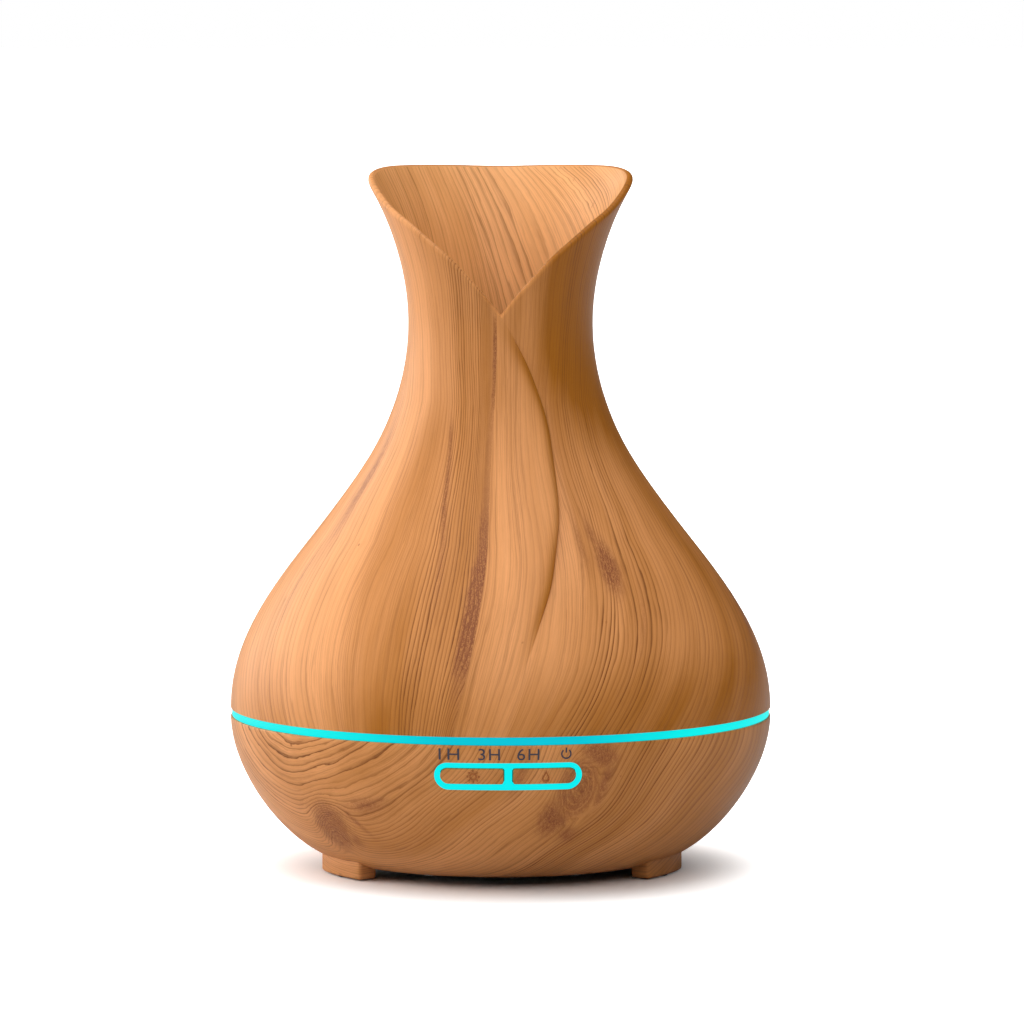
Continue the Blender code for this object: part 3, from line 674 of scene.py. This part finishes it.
def bowl_features(g, A, B, n, rag, fine):
    M = g.math
    dark, lines, clear = 0.0, 0.0, 0.0
    # knot over the left foot, with the patches beside it
    m, r2 = blob(g, A, B, (-65.1, 31.9), (7.0, 10.5), 18, 1, rag, 0.25)
    n = M('ADD', n, M('MULTIPLY', m, 7.5))
    core, _ = blob(g, A, B, (-65.1, 31.9), (7.4, 11.0), 18, 3, rag, 0.5)
    dark = M('MULTIPLY', core, M('MULTIPLY_ADD', fine, 0.5, 0.55))
    lines = M('MULTIPLY', core, 0.4)
    for at, size, turn, power, amt, gain in (
            ((-46.5, 21.3), (6.2, 2.4), -9, 1, 1.1, .85), ((-40.5, 19.0), (3.2, .9), -12, 1, .8, .6),
            ((-57.2, 36.5), (2.6, 3.0), 0, 1, 1.2, .75), ((-52.6, 28.0), (1.0, 6.2), -36, 1, .5, .75),
            ((-59.5, 24.6), (1.1, 5.0), -60, 1, .6, .6),
            ((15.0, 24.0), (5.0, 8.0), 24, 2, 1.5, 1.0), ((27.0, 3.2), (5.6, 4.4), 20, 2, 1.3, .95),
            ((28.8, 13.0), (2.1, 8.0), 12, 1, 1.0, .85), ((3.6, 9.6), (1.7, 6.5), 22, 1, .8, .75),
            ((20.0, 31.5), (3.4, 3.2), 30, 1, 1.4, .8)):
        m, _ = blob(g, A, B, at, size, turn, power, rag, amt)
        dark = M('MAXIMUM', dark, M('MULTIPLY', m, gain))
    # nested knot right of the panel: pale rings on a reddish ground
    m, r2 = blob(g, A, B, (20.9, 14.2), (5.7, 9.6), 8, 1, rag, 0.22)
    n = M('ADD', n, M('MULTIPLY', m, 7.0))
    core, _ = blob(g, A, B, (20.9, 14.2), (6.4, 10.4), 8, 4, rag, 0.2)
    ring = g.ramp(M('FRACT', M('MULTIPLY', M('SQRT', r2), 3.6)), [(0.0, 1.0), (0.16, 0.0), (0.8, 0.0), (1.0, 1.0)])
    dark = M('MAXIMUM', M('MULTIPLY', dark, M('SUBTRACT', 1.0, M('MULTIPLY', core, 0.75))),
             M('MULTIPLY', core, M('MULTIPLY_ADD', ring, -0.6, 0.85)))
    lines = M('ADD', lines, M('MULTIPLY', core, 0.1))
    return n, dark, lines


def wood_print(name, features, light=(.665, .294, .108), deep=(.312, .106, .009), line=(.145, .044, .008),
               streak=(.185, .055, .020), line_gain=1.0):
    g = Net(name)
    U, V, N = g.attr("grain")
    # the tone channel holds the print's tone together with painted light and shade
    amp, dark, tone = g.attr("print_and_shade_mix")
    A, B, side = g.attr("place")
    M = g.math
    slow = g.noise(g.vec(M('MULTIPLY', U, 0.10), M('MULTIPLY', V, 0.014)), detail=3)
    wob = g.noise(g.vec(M('MULTIPLY', U, 0.42), M('MULTIPLY', V, 0.035)), detail=3)
    rag = g.noise(g.vec(M('MULTIPLY', A, 0.75), M('MULTIPLY', B, 0.28), 3.0), detail=4, rough=0.6, distort=0.5)
    hatch = g.noise(g.vec(M('MULTIPLY', A, 2.3), M('MULTIPLY', B, 0.9), 7.0), detail=3, rough=0.62, distort=1.6)
    N, feat, extra = features(g, A, B, N, rag, hatch)
    ph = M('ADD', N, M('MULTIPLY', M('SUBTRACT', wob, 0.5), 1.5))
    fr = M('FRACT', ph)
    wn = g.t.nodes.new("ShaderNodeTexWhiteNoise")
    wn.noise_dimensions = '1D'
    g.put(wn.inputs["W"], M('FLOOR', ph))
    prof = g.ramp(fr, [(0.0, 0.0), (0.40, 0.05), (0.70, 0.36), (0.92, 1.0), (1.0, 0.0)])
    each = M('MULTIPLY_ADD', wn.outputs[0], 0.85, 0.32)
    # lines are kept off the narrow strip where the lining meets the lip
    far = M('MULTIPLY_ADD', side, 2.0, -1.0)
    keep = M('POWER', M('MULTIPLY', far, far), 4.0)
    gap = M('MULTIPLY', keep, M('ADD', amp, extra))
    lines = M('MULTIPLY', M('MULTIPLY', prof, each), gap, clamp=True)
    ph2 = M('MULTIPLY_ADD', N, 3.0, M('MULTIPLY', wob, 3.1))
    fine = g.ramp(M('FRACT', ph2), [(0.0, 0.0), (0.55, 0.2), (0.9, 1.0), (1.0, 0.0)])
    part = g.ramp(g.noise(g.vec(M('MULTIPLY', U, 0.16), M('MULTIPLY', V, 0.012), 4.0), detail=2),
                  [(0.38, 0.15), (0.60, 1.0)])
    fine = M('MULTIPLY', M('MULTIPLY', M('MULTIPLY', fine, part), 0.30), keep)
    fibre = g.noise(g.vec(M('MULTIPLY', U, 3.2), M('MULTIPLY', V, 0.10)), detail=5, rough=0.65)
    pores = g.noise(g.vec(M('MULTIPLY', U, 8.0), M('MULTIPLY', V, 0.55), 2.0), detail=3)
    ragged = g.noise(g.vec(M('MULTIPLY', U, 0.9), M('MULTIPLY', V, 0.16), 3.0), detail=4, distort=0.4)
    soft = M('ADD', dark, M('MULTIPLY', M('SUBTRACT', ragged, 0.5), 0.7))
    soft = M('MULTIPLY', g.ramp(soft, [(0.28, 0.0), (0.75, 1.0)]), g.ramp(dark, [(0.04, 0.0), (0.35, 1.0)]))
    dk = M('MULTIPLY', M('MAXIMUM', soft, feat), g.ramp(hatch, [(0.36, 0.25), (0.56, 1.0)]), clamp=True)
    tn = M('ADD', tone, M('MULTIPLY', M('SUBTRACT', slow, 0.5), 0.9))
    col = g.ramp(tn, [(0.1, deep + (1,)), (0.9, light + (1,))])
    col = g.mix(M('MULTIPLY', M('ADD', lines, fine), line_gain, clamp=True), col, line + (1,))
    col = g.mix(M('MULTIPLY', dk, 0.92), col, streak + (1,))
    vor = g.t.nodes.new("ShaderNodeTexVoronoi")
    g.put(vor.inputs["Vector"], g.vec(M('MULTIPLY', A, 0.085), M('MULTIPLY', B, 0.075)))
    vor.inputs["Scale"].default_value = 1.0
    spot = g.ramp(vor.outputs["Distance"], [(0.022, 1.0), (0.045, 0.0)])
    sep = g.t.nodes.new("ShaderNodeSeparateColor")
    g.t.links.new(vor.outputs["Color"], sep.inputs[0])
    spot = M('MULTIPLY', spot, g.ramp(sep.outputs[0], [(0.62, 0.0), (0.7, 1.0)]))
    col = g.mix(M('MULTIPLY', spot, 0.7), col, streak + (1,))
    gain = M('ADD', M('MULTIPLY_ADD', fibre, 0.30, 0.85), M('MULTIPLY', M('SUBTRACT', pores, 0.5), 0.16))
    # painted light: where side = 1, inside the mouth, the colour is made lighter and paler, standing in for light
    # bounced around inside
    lining = g.vec(M('MULTIPLY', gain, M('MULTIPLY_ADD', side, 0.24, 1.0)), M('MULTIPLY', gain, M('MULTIPLY_ADD', side, 0.38, 1.0)),
                   M('MULTIPLY', gain, M('MULTIPLY_ADD', side, 0.52, 1.0)))
    col = g.mix(1.0, col, lining, 'MULTIPLY')
    g.bump(M('SUBTRACT', M('MULTIPLY', fibre, 0.4), M('MULTIPLY', lines, 0.5)), 0.16, 0.0002)
    rough = M('MULTIPLY_ADD', fibre, 0.14, 0.36)
    g.set(Base_Color=col, Roughness=rough, Specular_IOR_Level=0.12)
    return g.m


def moulded(name, rgb, rough=0.45, spread=0.05, grain=0.0008, bump=0.12, **kw):
    """Injection-moulded plastic: faint flow mottling and a fine spark texture."""
    g = Net(name)
    o = g.obj()
    big = g.noise(o, scale=38, detail=3)
    tiny = g.noise(o, scale=1 / grain, detail=2)
    col = g.mix(g.ramp(big, [(0.35, 0.0), (0.65, 1.0)]), tuple(c * (1 - spread) for c in rgb[:3]) + (1,),
                tuple(min(1, c * (1 + spread)) for c in rgb[:3]) + (1,))
    g.bump(tiny, bump, 0.00012)
    g.set(Base_Color=col, Roughness=g.math('MULTIPLY_ADD', tiny, 0.16, rough - 0.08), **kw)
    return g.m


def metal(name, rgb, rough=0.28, scale=900):
    g = Net(name)
    o = g.obj()
    sep = g.t.nodes.new("ShaderNodeSeparateXYZ")
    g.t.links.new(o, sep.inputs[0])
    streak = g.noise(g.vec(g.math('MULTIPLY', sep.outputs[0], scale), g.math('MULTIPLY', sep.outputs[1], scale * .05),
                           g.math('MULTIPLY', sep.outputs[2], scale)), detail=3)
    col = g.mix(streak, tuple(c * .88 for c in rgb[:3]) + (1,), rgb)
    g.bump(streak, 0.08, 0.00005)
    g.set(Base_Color=col, Metallic=1.0, Roughness=g.math('MULTIPLY_ADD', streak, 0.2, rough - 0.1))
    return g.m


def glow(name, deep, bright, strength):
    """Frosted light guide lit by a row of LEDs; its glow is painted brighter towards the sides of the ring and deeper
    at its front, a painted highlight standing in for the brighter look at a grazing view.
    """
    g = Net(name)
    o = g.obj()
    sep = g.t.nodes.new("ShaderNodeSeparateXYZ")
    g.t.links.new(o, sep.inputs[0])
    side = g.math('ABSOLUTE', sep.outputs[0])
    f = g.ramp(g.math('DIVIDE', side, 0.084), [(0.15, 0.0), (0.75, 1.0)], 'EASE')
    mottle = g.noise(o, scale=180, detail=3)
    f = g.math('ADD', f, g.math('MULTIPLY', g.math('SUBTRACT', mottle, 0.5), 0.25), clamp=True)
    col = g.mix(f, deep, bright)
    g.put(g.bsdf.inputs["Emission Color"], col)
    tiny = g.noise(o, scale=900, detail=2)
    g.bump(tiny, 0.1, 0.0001)
    g.set(Base_Color=g.mix(f, (0.0, 0.010, 0.012, 1), (0.0, 0.016, 0.016, 1)), Emission_Strength=strength,
          Roughness=0.5, Specular_IOR_Level=0.08)
    return g.m


WOOD_COVER = wood_print("wood_print_cover", cover_features, line_gain=1.1)
WOOD_BASE = wood_print("wood_print_base", bowl_features, line_gain=1.1)
WHITE_PP = moulded("white_polypropylene", srgb(236, 236, 230), 0.38, 0.02,
                   Subsurface_Weight=0.12, Subsurface_Scale=0.004)
RUBBER = moulded("dark_rubber", srgb(38, 38, 40), 0.8, 0.08, bump=0.3)
BLACK = moulded("black_textured_plastic", srgb(30, 30, 33), 0.5, 0.06, bump=0.3)
CHIP = moulded("black_component", srgb(24, 24, 26), 0.35, 0.06)
LENS = moulded("led_epoxy", srgb(214, 240, 238), 0.2, 0.02)
RED = moulded("red_insulation", srgb(170, 30, 26), 0.4, 0.05)
LEAD = moulded("black_insulation", srgb(26, 26, 28), 0.42, 0.05)
INK = moulded("navy_ink", srgb(44, 40, 52), 0.5, 0.05)
STEEL = metal("bright_steel", srgb(200, 200, 202))
ALU = metal("extruded_aluminium", srgb(214, 214, 218), 0.35)
DISC = metal("silvered_ceramic", srgb(206, 202, 190), 0.42, 500)
RING_GLOW = glow("lit_ring", srgb(0, 196, 214), srgb(0, 240, 236), 1.0)
BEZEL_GLOW = glow("lit_bezel", srgb(0, 238, 240), srgb(0, 252, 250), 1.0)


def board():
    g = Net("green_solder_mask")
    o = g.obj()
    br = g.t.nodes.new("ShaderNodeTexBrick")
    g.put(br.inputs["Vector"], o)
    br.inputs["Scale"].default_value = 260
    br.inputs["Mortar Size"].default_value = 0.03
    tr = g.noise(o, scale=420, detail=2)
    col = g.mix(g.ramp(tr, [(0.48, 0.0), (0.52, 1.0)]), srgb(18, 92, 52), srgb(26, 116, 66))
    col = g.mix(br.outputs["Fac"], col, srgb(16, 80, 46))
    g.bump(tr, 0.2, 0.0001)
    g.set(Base_Color=col, Roughness=0.32, Coat_Weight=0.4, Coat_Roughness=0.15)
    return g.m


BOARD = board()


def finish_piece(ob, mat, body, nodes):
    ob.data.materials.clear()
    ob.data.materials.append(mat)
    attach(ob, body)
    if nodes:
        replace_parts(ob, *nodes)
    return ob


# ------------------------------------------------------------------ camera
yaw = math.radians(-1.6)
DIST = 2.0
cam_data = bpy.data.cameras.new("camera")
cam = link(bpy.data.objects.new("camera", cam_data))
cam.location = (DIST * math.sin(yaw), -DIST * math.cos(yaw), 0.2828)
cam.rotation_euler = (math.radians(90 - 4.9217), 0, yaw + math.radians(-0.102))
cam_data.sensor_width = 36.0
cam_data.lens = 6444.6 / 1024 * 36.0
cam_data.clip_start, cam_data.clip_end = 0.05, 20
bpy.context.scene.camera = cam

# ------------------------------------------------------------------ cover
NR, NI = ((170, 46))


def columns():
    """Angles from the front; close together beside the crease, wider at the back."""
    def side(first, grow, most):
        out, x, st = [], 0.0, first
        while True:
            x += st
            if x > 178.4:
                return out
            out.append(x)
            lim = most if x < 95 else 1.8
            st = min(st * grow, lim)
    left = side(0.035, 1.32, 1.0)
    right = side(0.12, 1.25, 1.05)
    return np.array([-a for a in reversed(left)] + [0.0] + right + [180.0])


c0 = columns()
shift = np.exp(-(c0 / 40.0) ** 2)
t = np.linspace(0, 1, NR)[:, None]
th = np.repeat(c0[None, :], NR, 0)
for _ in range(6):
    zz = COVER_BOTTOM + 0.35 + (rim_z(np.abs(th)) - COVER_BOTTOM - 0.35) * t
    th = c0[None, :] + crease_deg(zz) * shift[None, :]
zz = COVER_BOTTOM + 0.35 + (rim_z(np.abs(th)) - COVER_BOTTOM - 0.35) * t
r_plain = cover_r(zz)
rr = r_plain + petal(th, zz)
ra = np.radians(th)
outer = np.stack([rr * np.sin(ra), -rr * np.cos(ra), zz], -1)


def plain_normal(th_deg, z):
    e = 0.05
    sl = (cover_r(z + e) - cover_r(z - e)) / (2 * e)
    k = 1 / np.sqrt(1 + sl ** 2)
    a = np.radians(th_deg)
    return np.stack([k * np.sin(a), -k * np.cos(a), -sl * k], -1)


# inner wall, then the rounded lip between the two
ti = np.linspace(1, 0, NI)[:, None]
thi = np.repeat(c0[None, :], NI, 0)
zi = COVER_BOTTOM + 0.35 + (rim_z(np.abs(thi)) - COVER_BOTTOM - 0.35) * ti
ri = cover_r(zi)
ai = np.radians(thi)
inner = np.stack([ri * np.sin(ai), -ri * np.cos(ai), zi], -1) - plain_normal(thi, zi) * WALL_COVER
top_o, top_i = outer[-1], inner[0]
tangent = np.roll(top_o, -1, 0) - np.roll(top_o, 1, 0)
nrm = top_o - top_i
up = np.cross(nrm, tangent)
up /= np.linalg.norm(up, axis=1)[:, None]
up *= np.sign(up[:, 2])[:, None]
mid, half = (top_o + top_i) / 2, (top_o - top_i) / 2
hl = np.linalg.norm(half, axis=1)[:, None]
lip = [mid + half * math.cos(p) + up * hl * math.sin(p) for p in np.radians([22, 45, 68, 90, 112, 135, 158])]
bo, bi = outer[0], inner[-1]
foot = [bi * [1, 1, 0] + [0, 0, COVER_BOTTOM + 0.12],
        bi + (bo - bi) * 0.12 + [0, 0, 0], bi + (bo - bi) * 0.88, bo * [1, 1, 0] + [0, 0, COVER_BOTTOM + 0.12]]
foot[1][:, 2] = foot[2][:, 2] = COVER_BOTTOM
cover = grid_object("cover_shell", np.concatenate([outer, np.array(lip), inner, np.array(foot)]), angle=60)
first, last = (NR + len(lip)) * len(c0), (NR + len(lip) + NI) * len(c0)
paint(cover, cover_grain, cover_lining, np.arange(first, last))
co = coords(cover)
cs, sn = math.cos(COVER_TURN), math.sin(COVER_TURN)
set_coords(cover, np.stack([co[:, 0] * cs - co[:, 1] * sn, co[:, 0] * sn + co[:, 1] * cs, co[:, 2]], 1))
finish_piece(cover, WOOD_COVER, "cover", ["vase_cover"])

# ------------------------------------------------------------------ base bowl with feet
NB, NC = ((90, 400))
bo_ = bowl_curve(NB)
bo_[0] = (BASE_R - 0.12, BASE_TOP - 0.05)
bo_ = np.concatenate([[(BASE_R - 0.4, BASE_TOP)], bo_[:1], [(BASE_R - 0.02, BASE_TOP - 0.4)], bo_[1:]])
bi_ = bowl_curve(30, WALL_BASE)[::-1]
bi_ = bi_[bi_[:, 1] < 36]
prof = np.concatenate([bo_, [(BOTTOM_OPENING_R, BOWL_BOTTOM), (BOTTOM_OPENING_R, BOWL_BOTTOM + WALL_BASE)],
                       bi_, [(79.4, 40.8), (79.4, 43.8), (81.9, 43.8), (81.9, BASE_TOP)]])
ang = np.linspace(0, math.tau, NC, endpoint=False)
P = np.stack([prof[:, 0][:, None] * np.sin(ang), -prof[:, 0][:, None] * np.cos(ang),
              np.repeat(prof[:, 1][:, None], NC, 1)], -1)
bowl = grid_object("base_bowl", P, angle=40)


def foot_block(deg):
    """A block moulded under the bowl, curved with it, edges rounded."""
    n, ha = 12, 12.4
    r_in, r_out = 51.2, 58.2
    bm = bmesh.new()
    lo = [(r_out, a) for a in np.linspace(deg - ha, deg + ha, n)] + \
         [(r_in, a) for a in np.linspace(deg + ha, deg - ha, n)]
    rings = []
    for z in (0.4, 7.2):
        rings.append([bm.verts.new((r * math.sin(math.radians(a)), -r * math.cos(math.radians(a)), z)) for r, a in lo])
    k = len(lo)
    bm.faces.new(rings[0][::-1])
    bm.faces.new(rings[1])
    for i in range(k):
        j = (i + 1) % k
        bm.faces.new((rings[0][i], rings[0][j], rings[1][j], rings[1][i]))
    bmesh.ops.recalc_face_normals(bm, faces=bm.faces)
    sharp = [e for e in bm.edges if e.calc_face_angle(0) > 0.7 and not all(v.co.z > 7 for v in e.verts)]
    bmesh.ops.bevel(bm, geom=sharp, offset=1.1, segments=4, profile=0.5, affect='EDGES')
    bmesh.ops.scale(bm, vec=(MM, MM, MM), verts=bm.verts)
    me = bpy.data.meshes.new("foot")
    bm.to_mesh(me)
    bm.free()
    return link(bpy.data.objects.new("foot", me))


for deg in FEET_DEG.values():
    boolean(bowl, foot_block(deg), 'UNION')
for deg in FEET_DEG.values():
    x, y = 54.7 * math.sin(math.radians(deg)), -54.7 * math.cos(math.radians(deg))
    boolean(bowl, turned("pocket", [(0, 1.8), (2.85, 1.8), (2.85, -1), (0, -1)], 32, (x, y), closed=False))


def stadium(cx, cz, w, h, n=24):
    r = h / 2
    return arc2(cx + w / 2 - r, cz, r, -90, 90, n) + arc2(cx - w / 2 + r, cz, r, 90, 270, n)


def key_loop(side, grow, n=20):
    x0 = PANEL_BAR / 2 - grow
    x1 = PANEL_W / 2 - BEZEL_LINE + grow
    hh = PANEL_H / 2 - BEZEL_LINE + grow
    c = 0.8
    pts = arc2(x1 - hh, PANEL_Z, hh, -90, 90, n)
    pts += arc2(x0 + c, PANEL_Z + hh - c, c, 90, 180, 5) + arc2(x0 + c, PANEL_Z - hh + c, c, 180, 270, 5)
    return [(x * side, z) for x, z in (pts if side > 0 else pts[::-1])]


slot_cut = flat("slot_cut", [dense(stadium(0, PANEL_Z, PANEL_W + 0.1, PANEL_H + 0.1), 1.0)], 14)
co = coords(slot_cut)
co[:, 2] += 5
set_coords(slot_cut, co)
wrap_on_bowl(slot_cut)
boolean(bowl, slot_cut)
boolean(bowl, boxmesh("notch", (-7.0, 40, -1), (7.0, 90, 15.4), 0.0))
shade(bowl.data, 32)
paint(bowl, base_grain)
finish_piece(bowl, WOOD_BASE, "base", ["base_housing"])

# ------------------------------------------------------------------ key panel
bezel = flat("bezel_guide", [dense(stadium(0, PANEL_Z, PANEL_W, PANEL_H)), dense(key_loop(1, 0.0)),
                             dense(key_loop(-1, 0.0))], 2.2, 0.16)
finish_piece(wrap_on_bowl(bezel, 0.12), BEZEL_GLOW, "base", ["panel_bezel"])
WOOD_SIGNS = wood_print("wood_print_signs", bowl_features, light=(.38, .135, .04), deep=(.26, .085, .02))


def round_loop(r, n=36, cy=0.0):
    return [(r * math.cos(math.tau * i / n), cy + r * math.sin(math.tau * i / n)) for i in range(n)]


def bar_loop(r0, r1, w, deg):
    """A short straight bar pointing away from the middle."""
    c, sn = math.cos(math.radians(deg)), math.sin(math.radians(deg))
    return [(u * c - v * sn, u * sn + v * c) for u, v in ((r0, -w / 2), (r1, -w / 2), (r1, w / 2), (r0, w / 2))]


def drop_loop(k, n=48):
    out = []
    for i in range(n):
        t = math.tau * (i + 0.5) / n
        out.append((1.62 * k * math.sin(t) * abs(math.sin(t / 2)) ** 1.5, (1 - k) * -0.35 + 1.85 * k * math.cos(t)))
    return out


SUN_SIGN = [round_loop(1.15), round_loop(0.72)] + [bar_loop(1.42, 1.98, 0.42, d) for d in range(0, 360, 45)]
DROP_SIGN = [drop_loop(1.0), drop_loop(0.62)]
POWER_SIGN = [arc2(0, 0, 1.62, 128, 412, 30) + arc2(0, 0, 1.16, 412, 128, 30), bar_loop(0.35, 1.9, 0.46, 90)]
for side, word, sign, mid_x in ((-1, "light", SUN_SIGN, -10.6), (1, "mist", DROP_SIGN, 11.4)):
    key = flat(word + "_key_cap", [dense(key_loop(side, -0.27))], 2.2, 0.22, 3)
    wrap_on_bowl(key, -0.08)
    paint(key, base_grain)
    finish_piece(key, WOOD_BASE, word + "_key", [word + "_button"])
    txt = flat(word + "_key_sign", sign, 0.5)
    co = coords(txt)
    co[:, 0] += mid_x
    co[:, 1] += PANEL_Z
    co[:, 2] += 0.16
    set_coords(txt, co)
    wrap_on_bowl(txt, 0.0)
    paint(txt, base_grain)
    finish_piece(txt, WOOD_SIGNS, word + "_key", [])
for label, x, wd in (("1H", -17.7, 6.2), ("3H", -5.7, 6.4), ("6H", 5.9, 6.6), ("always", 17.3, 0)):
    txt = lettering("timer_mark_" + label, label, 5.0, wd, 0.2) if wd else flat("timer_mark_always", POWER_SIGN, 0.2)
    co = coords(txt)
    co[:, 0] += x
    co[:, 1] += 44.9
    co[:, 2] += 0.10
    set_coords(txt, co)
    wrap_on_bowl(txt, 0.0)
    finish_piece(txt, INK, "base", [])

# ------------------------------------------------------------------ ring, tank, lid
ring = turned("seam_ring", rounded([(81.2, 53.9), (81.2, 49.9), (83.75, 49.9), (83.75, 47.6), (76.8, 47.6),
                                    (76.8, 49.5), (79.0, 49.5), (79.0, 53.9)], 0.25), 256)
finish_piece(ring, RING_GLOW, "base", ["light_ring"])

tank = turned("tank_basin", rounded([
    (81.4, 47.4), (81.4, 45.2), (69.2, 45.2), (68.2, 36.0), (66.5, 29.0), (63.0, 24.5), (57.0, 21.6),
    (45.0, 19.9), (20.0, 18.2), (11.9, 17.6), (11.9, 13.8), (10.3, 13.8), (10.3, 17.3), (7.0, 17.3),
    (7.0, 19.5), (20.0, 20.4), (45.0, 22.1), (56.0, 23.8), (61.0, 26.2), (64.3, 30.0), (66.0, 36.0),
    (66.35, 40.6), (66.0, 41.0), (66.45, 41.4), (67.0, 47.4)], 0.5, 3), 144)
boolean(tank, turned("tower", [(0, 43.5), (8.0, 43.5), (8.6, 42.9), (8.6, 17.0), (0, 17.0)], 48, (FAN_X, 0),
                     closed=False), 'UNION')
boolean(tank, turned("bore", [(0, 42.0), (6.8, 42.0), (6.8, 14.0), (0, 14.0)], 48, (FAN_X, 0), closed=False))
boolean(tank, boxmesh("window", (FAN_X + 3, -4.5, 34.0), (FAN_X + 12, 4.5, 40.5)))
shade(tank.data, 35)
finish_piece(tank, WHITE_PP, "base", ["water_tank"])

lid = turned("splash_lid", rounded([
    (10.2, 150.0), (10.8, 100.0), (12.2, 76.0), (15.0, 68.0), (22.0, 62.8), (45.0, 56.0), (66.0, 50.2),
    (76.2, 49.3), (76.2, 47.7), (66.4, 47.7), (66.4, 44.6), (64.9, 44.6), (64.9, 48.4), (45.0, 54.2),
    (21.5, 61.0), (13.6, 66.8), (10.6, 75.4), (9.2, 100.0), (8.6, 150.0)], 0.7, 4), 144)
finish_piece(lid, WHITE_PP, "lid", ["inner_lid"])

# ------------------------------------------------------------------ feet pads and carried-over nodes
for where, deg in FEET_DEG.items():
    x, y = 54.7 * math.sin(math.radians(deg)), -54.7 * math.cos(math.radians(deg))
    pad = turned("pad_" + where, [(0, 1.5), (2.6, 1.5), (2.6, 0.5), (2.5, 0.15), (2.2, 0.0), (0, 0.0)], 40, (x, y),
                 closed=False)
    finish_piece(pad, RUBBER, "base", ["foot_pad_" + where])

LOOK = {"bottom_cover": BLACK, "dc_jack": CHIP, "dc_jack_pin": STEEL, "tank_gasket": RUBBER,
        "transducer_seal": RUBBER, "transducer_disc": DISC, "transducer_retainer": STEEL, "fan_housing": BLACK,
        "fan_rotor": BLACK, "fan_duct": RUBBER, "heat_sink": ALU, "inductor": CHIP, "capacitor": CHIP,
        "driver_chip": CHIP, "button_board": BOARD, "light_led_board": BOARD, "main_board": BOARD,
        "light_switch": STEEL, "mist_switch": STEEL, "light_switch_plunger": CHIP, "mist_switch_plunger": CHIP,
        "transducer_lead": RED, "fan_lead": LEAD, "inlet_lead": LEAD, "button_lead": LEAD, "ring_lead": LEAD}
replaced = {n for o in bpy.data.objects for n in o.get("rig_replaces", [])}
for node, ob in frame["nodes"].items():
    if node in replaced:
        continue
    mat = LOOK.get(node) or (LENS if "_led_" in node else STEEL)
    ob.data.materials.clear()
    ob.data.materials.append(mat)

# ------------------------------------------------------------------ floor, light
g = Net("studio_floor")
soft = g.noise(g.obj(), scale=3, detail=2)
seen = g.t.nodes.new("ShaderNodeLightPath").outputs["Is Camera Ray"]
move = g.t.nodes.new("ShaderNodeMapping")
move.inputs["Location"].default_value = (0.0, 0.028, 0.0)
move.inputs["Scale"].default_value = (1.12, 1.0, 1.0)
g.t.links.new(g.obj(), move.inputs[0])
away = g.t.nodes.new("ShaderNodeVectorMath")
away.operation = 'LENGTH'
g.t.links.new(move.outputs[0], away.inputs[0])
# painted light: for camera rays the floor glows white away from the object, leaving only the contact shadow near it;
# other rays see a greyer floor
clear = g.ramp(g.math('MULTIPLY', away.outputs["Value"], 5.0), [(0.24, 0.0), (0.58, 1.0)], 'EASE')
g.set(Base_Color=g.mix(seen, (0.70, 0.70, 0.70, 1), g.mix(soft, (0.93, 0.93, 0.93, 1), (0.95, 0.95, 0.95, 1))),
      Roughness=0.8, Specular_IOR_Level=0.05, Emission_Color=(1, 1, 1, 1),
      Emission_Strength=g.math('MULTIPLY', g.math('MULTIPLY', clear, seen), 0.7))
fl = bpy.data.meshes.new("floor")
fl.from_pydata([(-14, -8, 0), (14, -8, 0), (14, 20, 0), (-14, 20, 0)], [], [(0, 1, 2, 3)])
floor = link(bpy.data.objects.new("floor", fl))
floor.data.materials.append(g.m)

# a white backdrop for the eye, a dimmer room for the light
world = bpy.data.worlds.new("world")
bpy.context.scene.world = world
world.use_nodes = True
wt = world.node_tree
bg = wt.nodes["Background"]
bg.inputs[0].default_value = (1.0, 1.0, 1.0, 1)
bg.inputs[1].default_value = 0.05
white = wt.nodes.new("ShaderNodeBackground")
white.inputs[0].default_value = (1.0, 1.0, 1.0, 1)
white.inputs[1].default_value = 1.0
path, both = wt.nodes.new("ShaderNodeLightPath"), wt.nodes.new("ShaderNodeMixShader")
wt.links.new(path.outputs["Is Camera Ray"], both.inputs[0])
wt.links.new(bg.outputs[0], both.inputs[1])
wt.links.new(white.outputs[0], both.inputs[2])
wt.links.new(both.outputs[0], wt.nodes["World Output"].inputs[0])


def softbox(name, toward, power, spread=50, color=(1, 1, 1)):
    """A far, broad light coming from one direction."""
    d = bpy.data.lights.new(name, 'SUN')
    d.energy, d.angle, d.color = power * math.pi, math.radians(spread), color
    o = link(bpy.data.objects.new(name, d))
    o.rotation_euler = Vector(toward).to_track_quat('Z', 'Y').to_euler()
    return o


softbox("overhead", (0, 0, 1), 0.64)
softbox("front_high", (0, -0.7, 0.7), 0.50)
softbox("left_high", (-0.7, 0, 0.7), 0.20)
softbox("left_low", (-1, 0, 0.2), 0.46)
softbox("left_rear", (-0.8, 0.6, 0.3), 0.56)
softbox("right_high", (0.7, 0, 0.7), 0.08)

sc = bpy.context.scene
sc.view_settings.view_transform = 'Standard'
sc.view_settings.look = 'None'
sc.view_settings.exposure = 0.0
sc.view_settings.gamma = 1.0
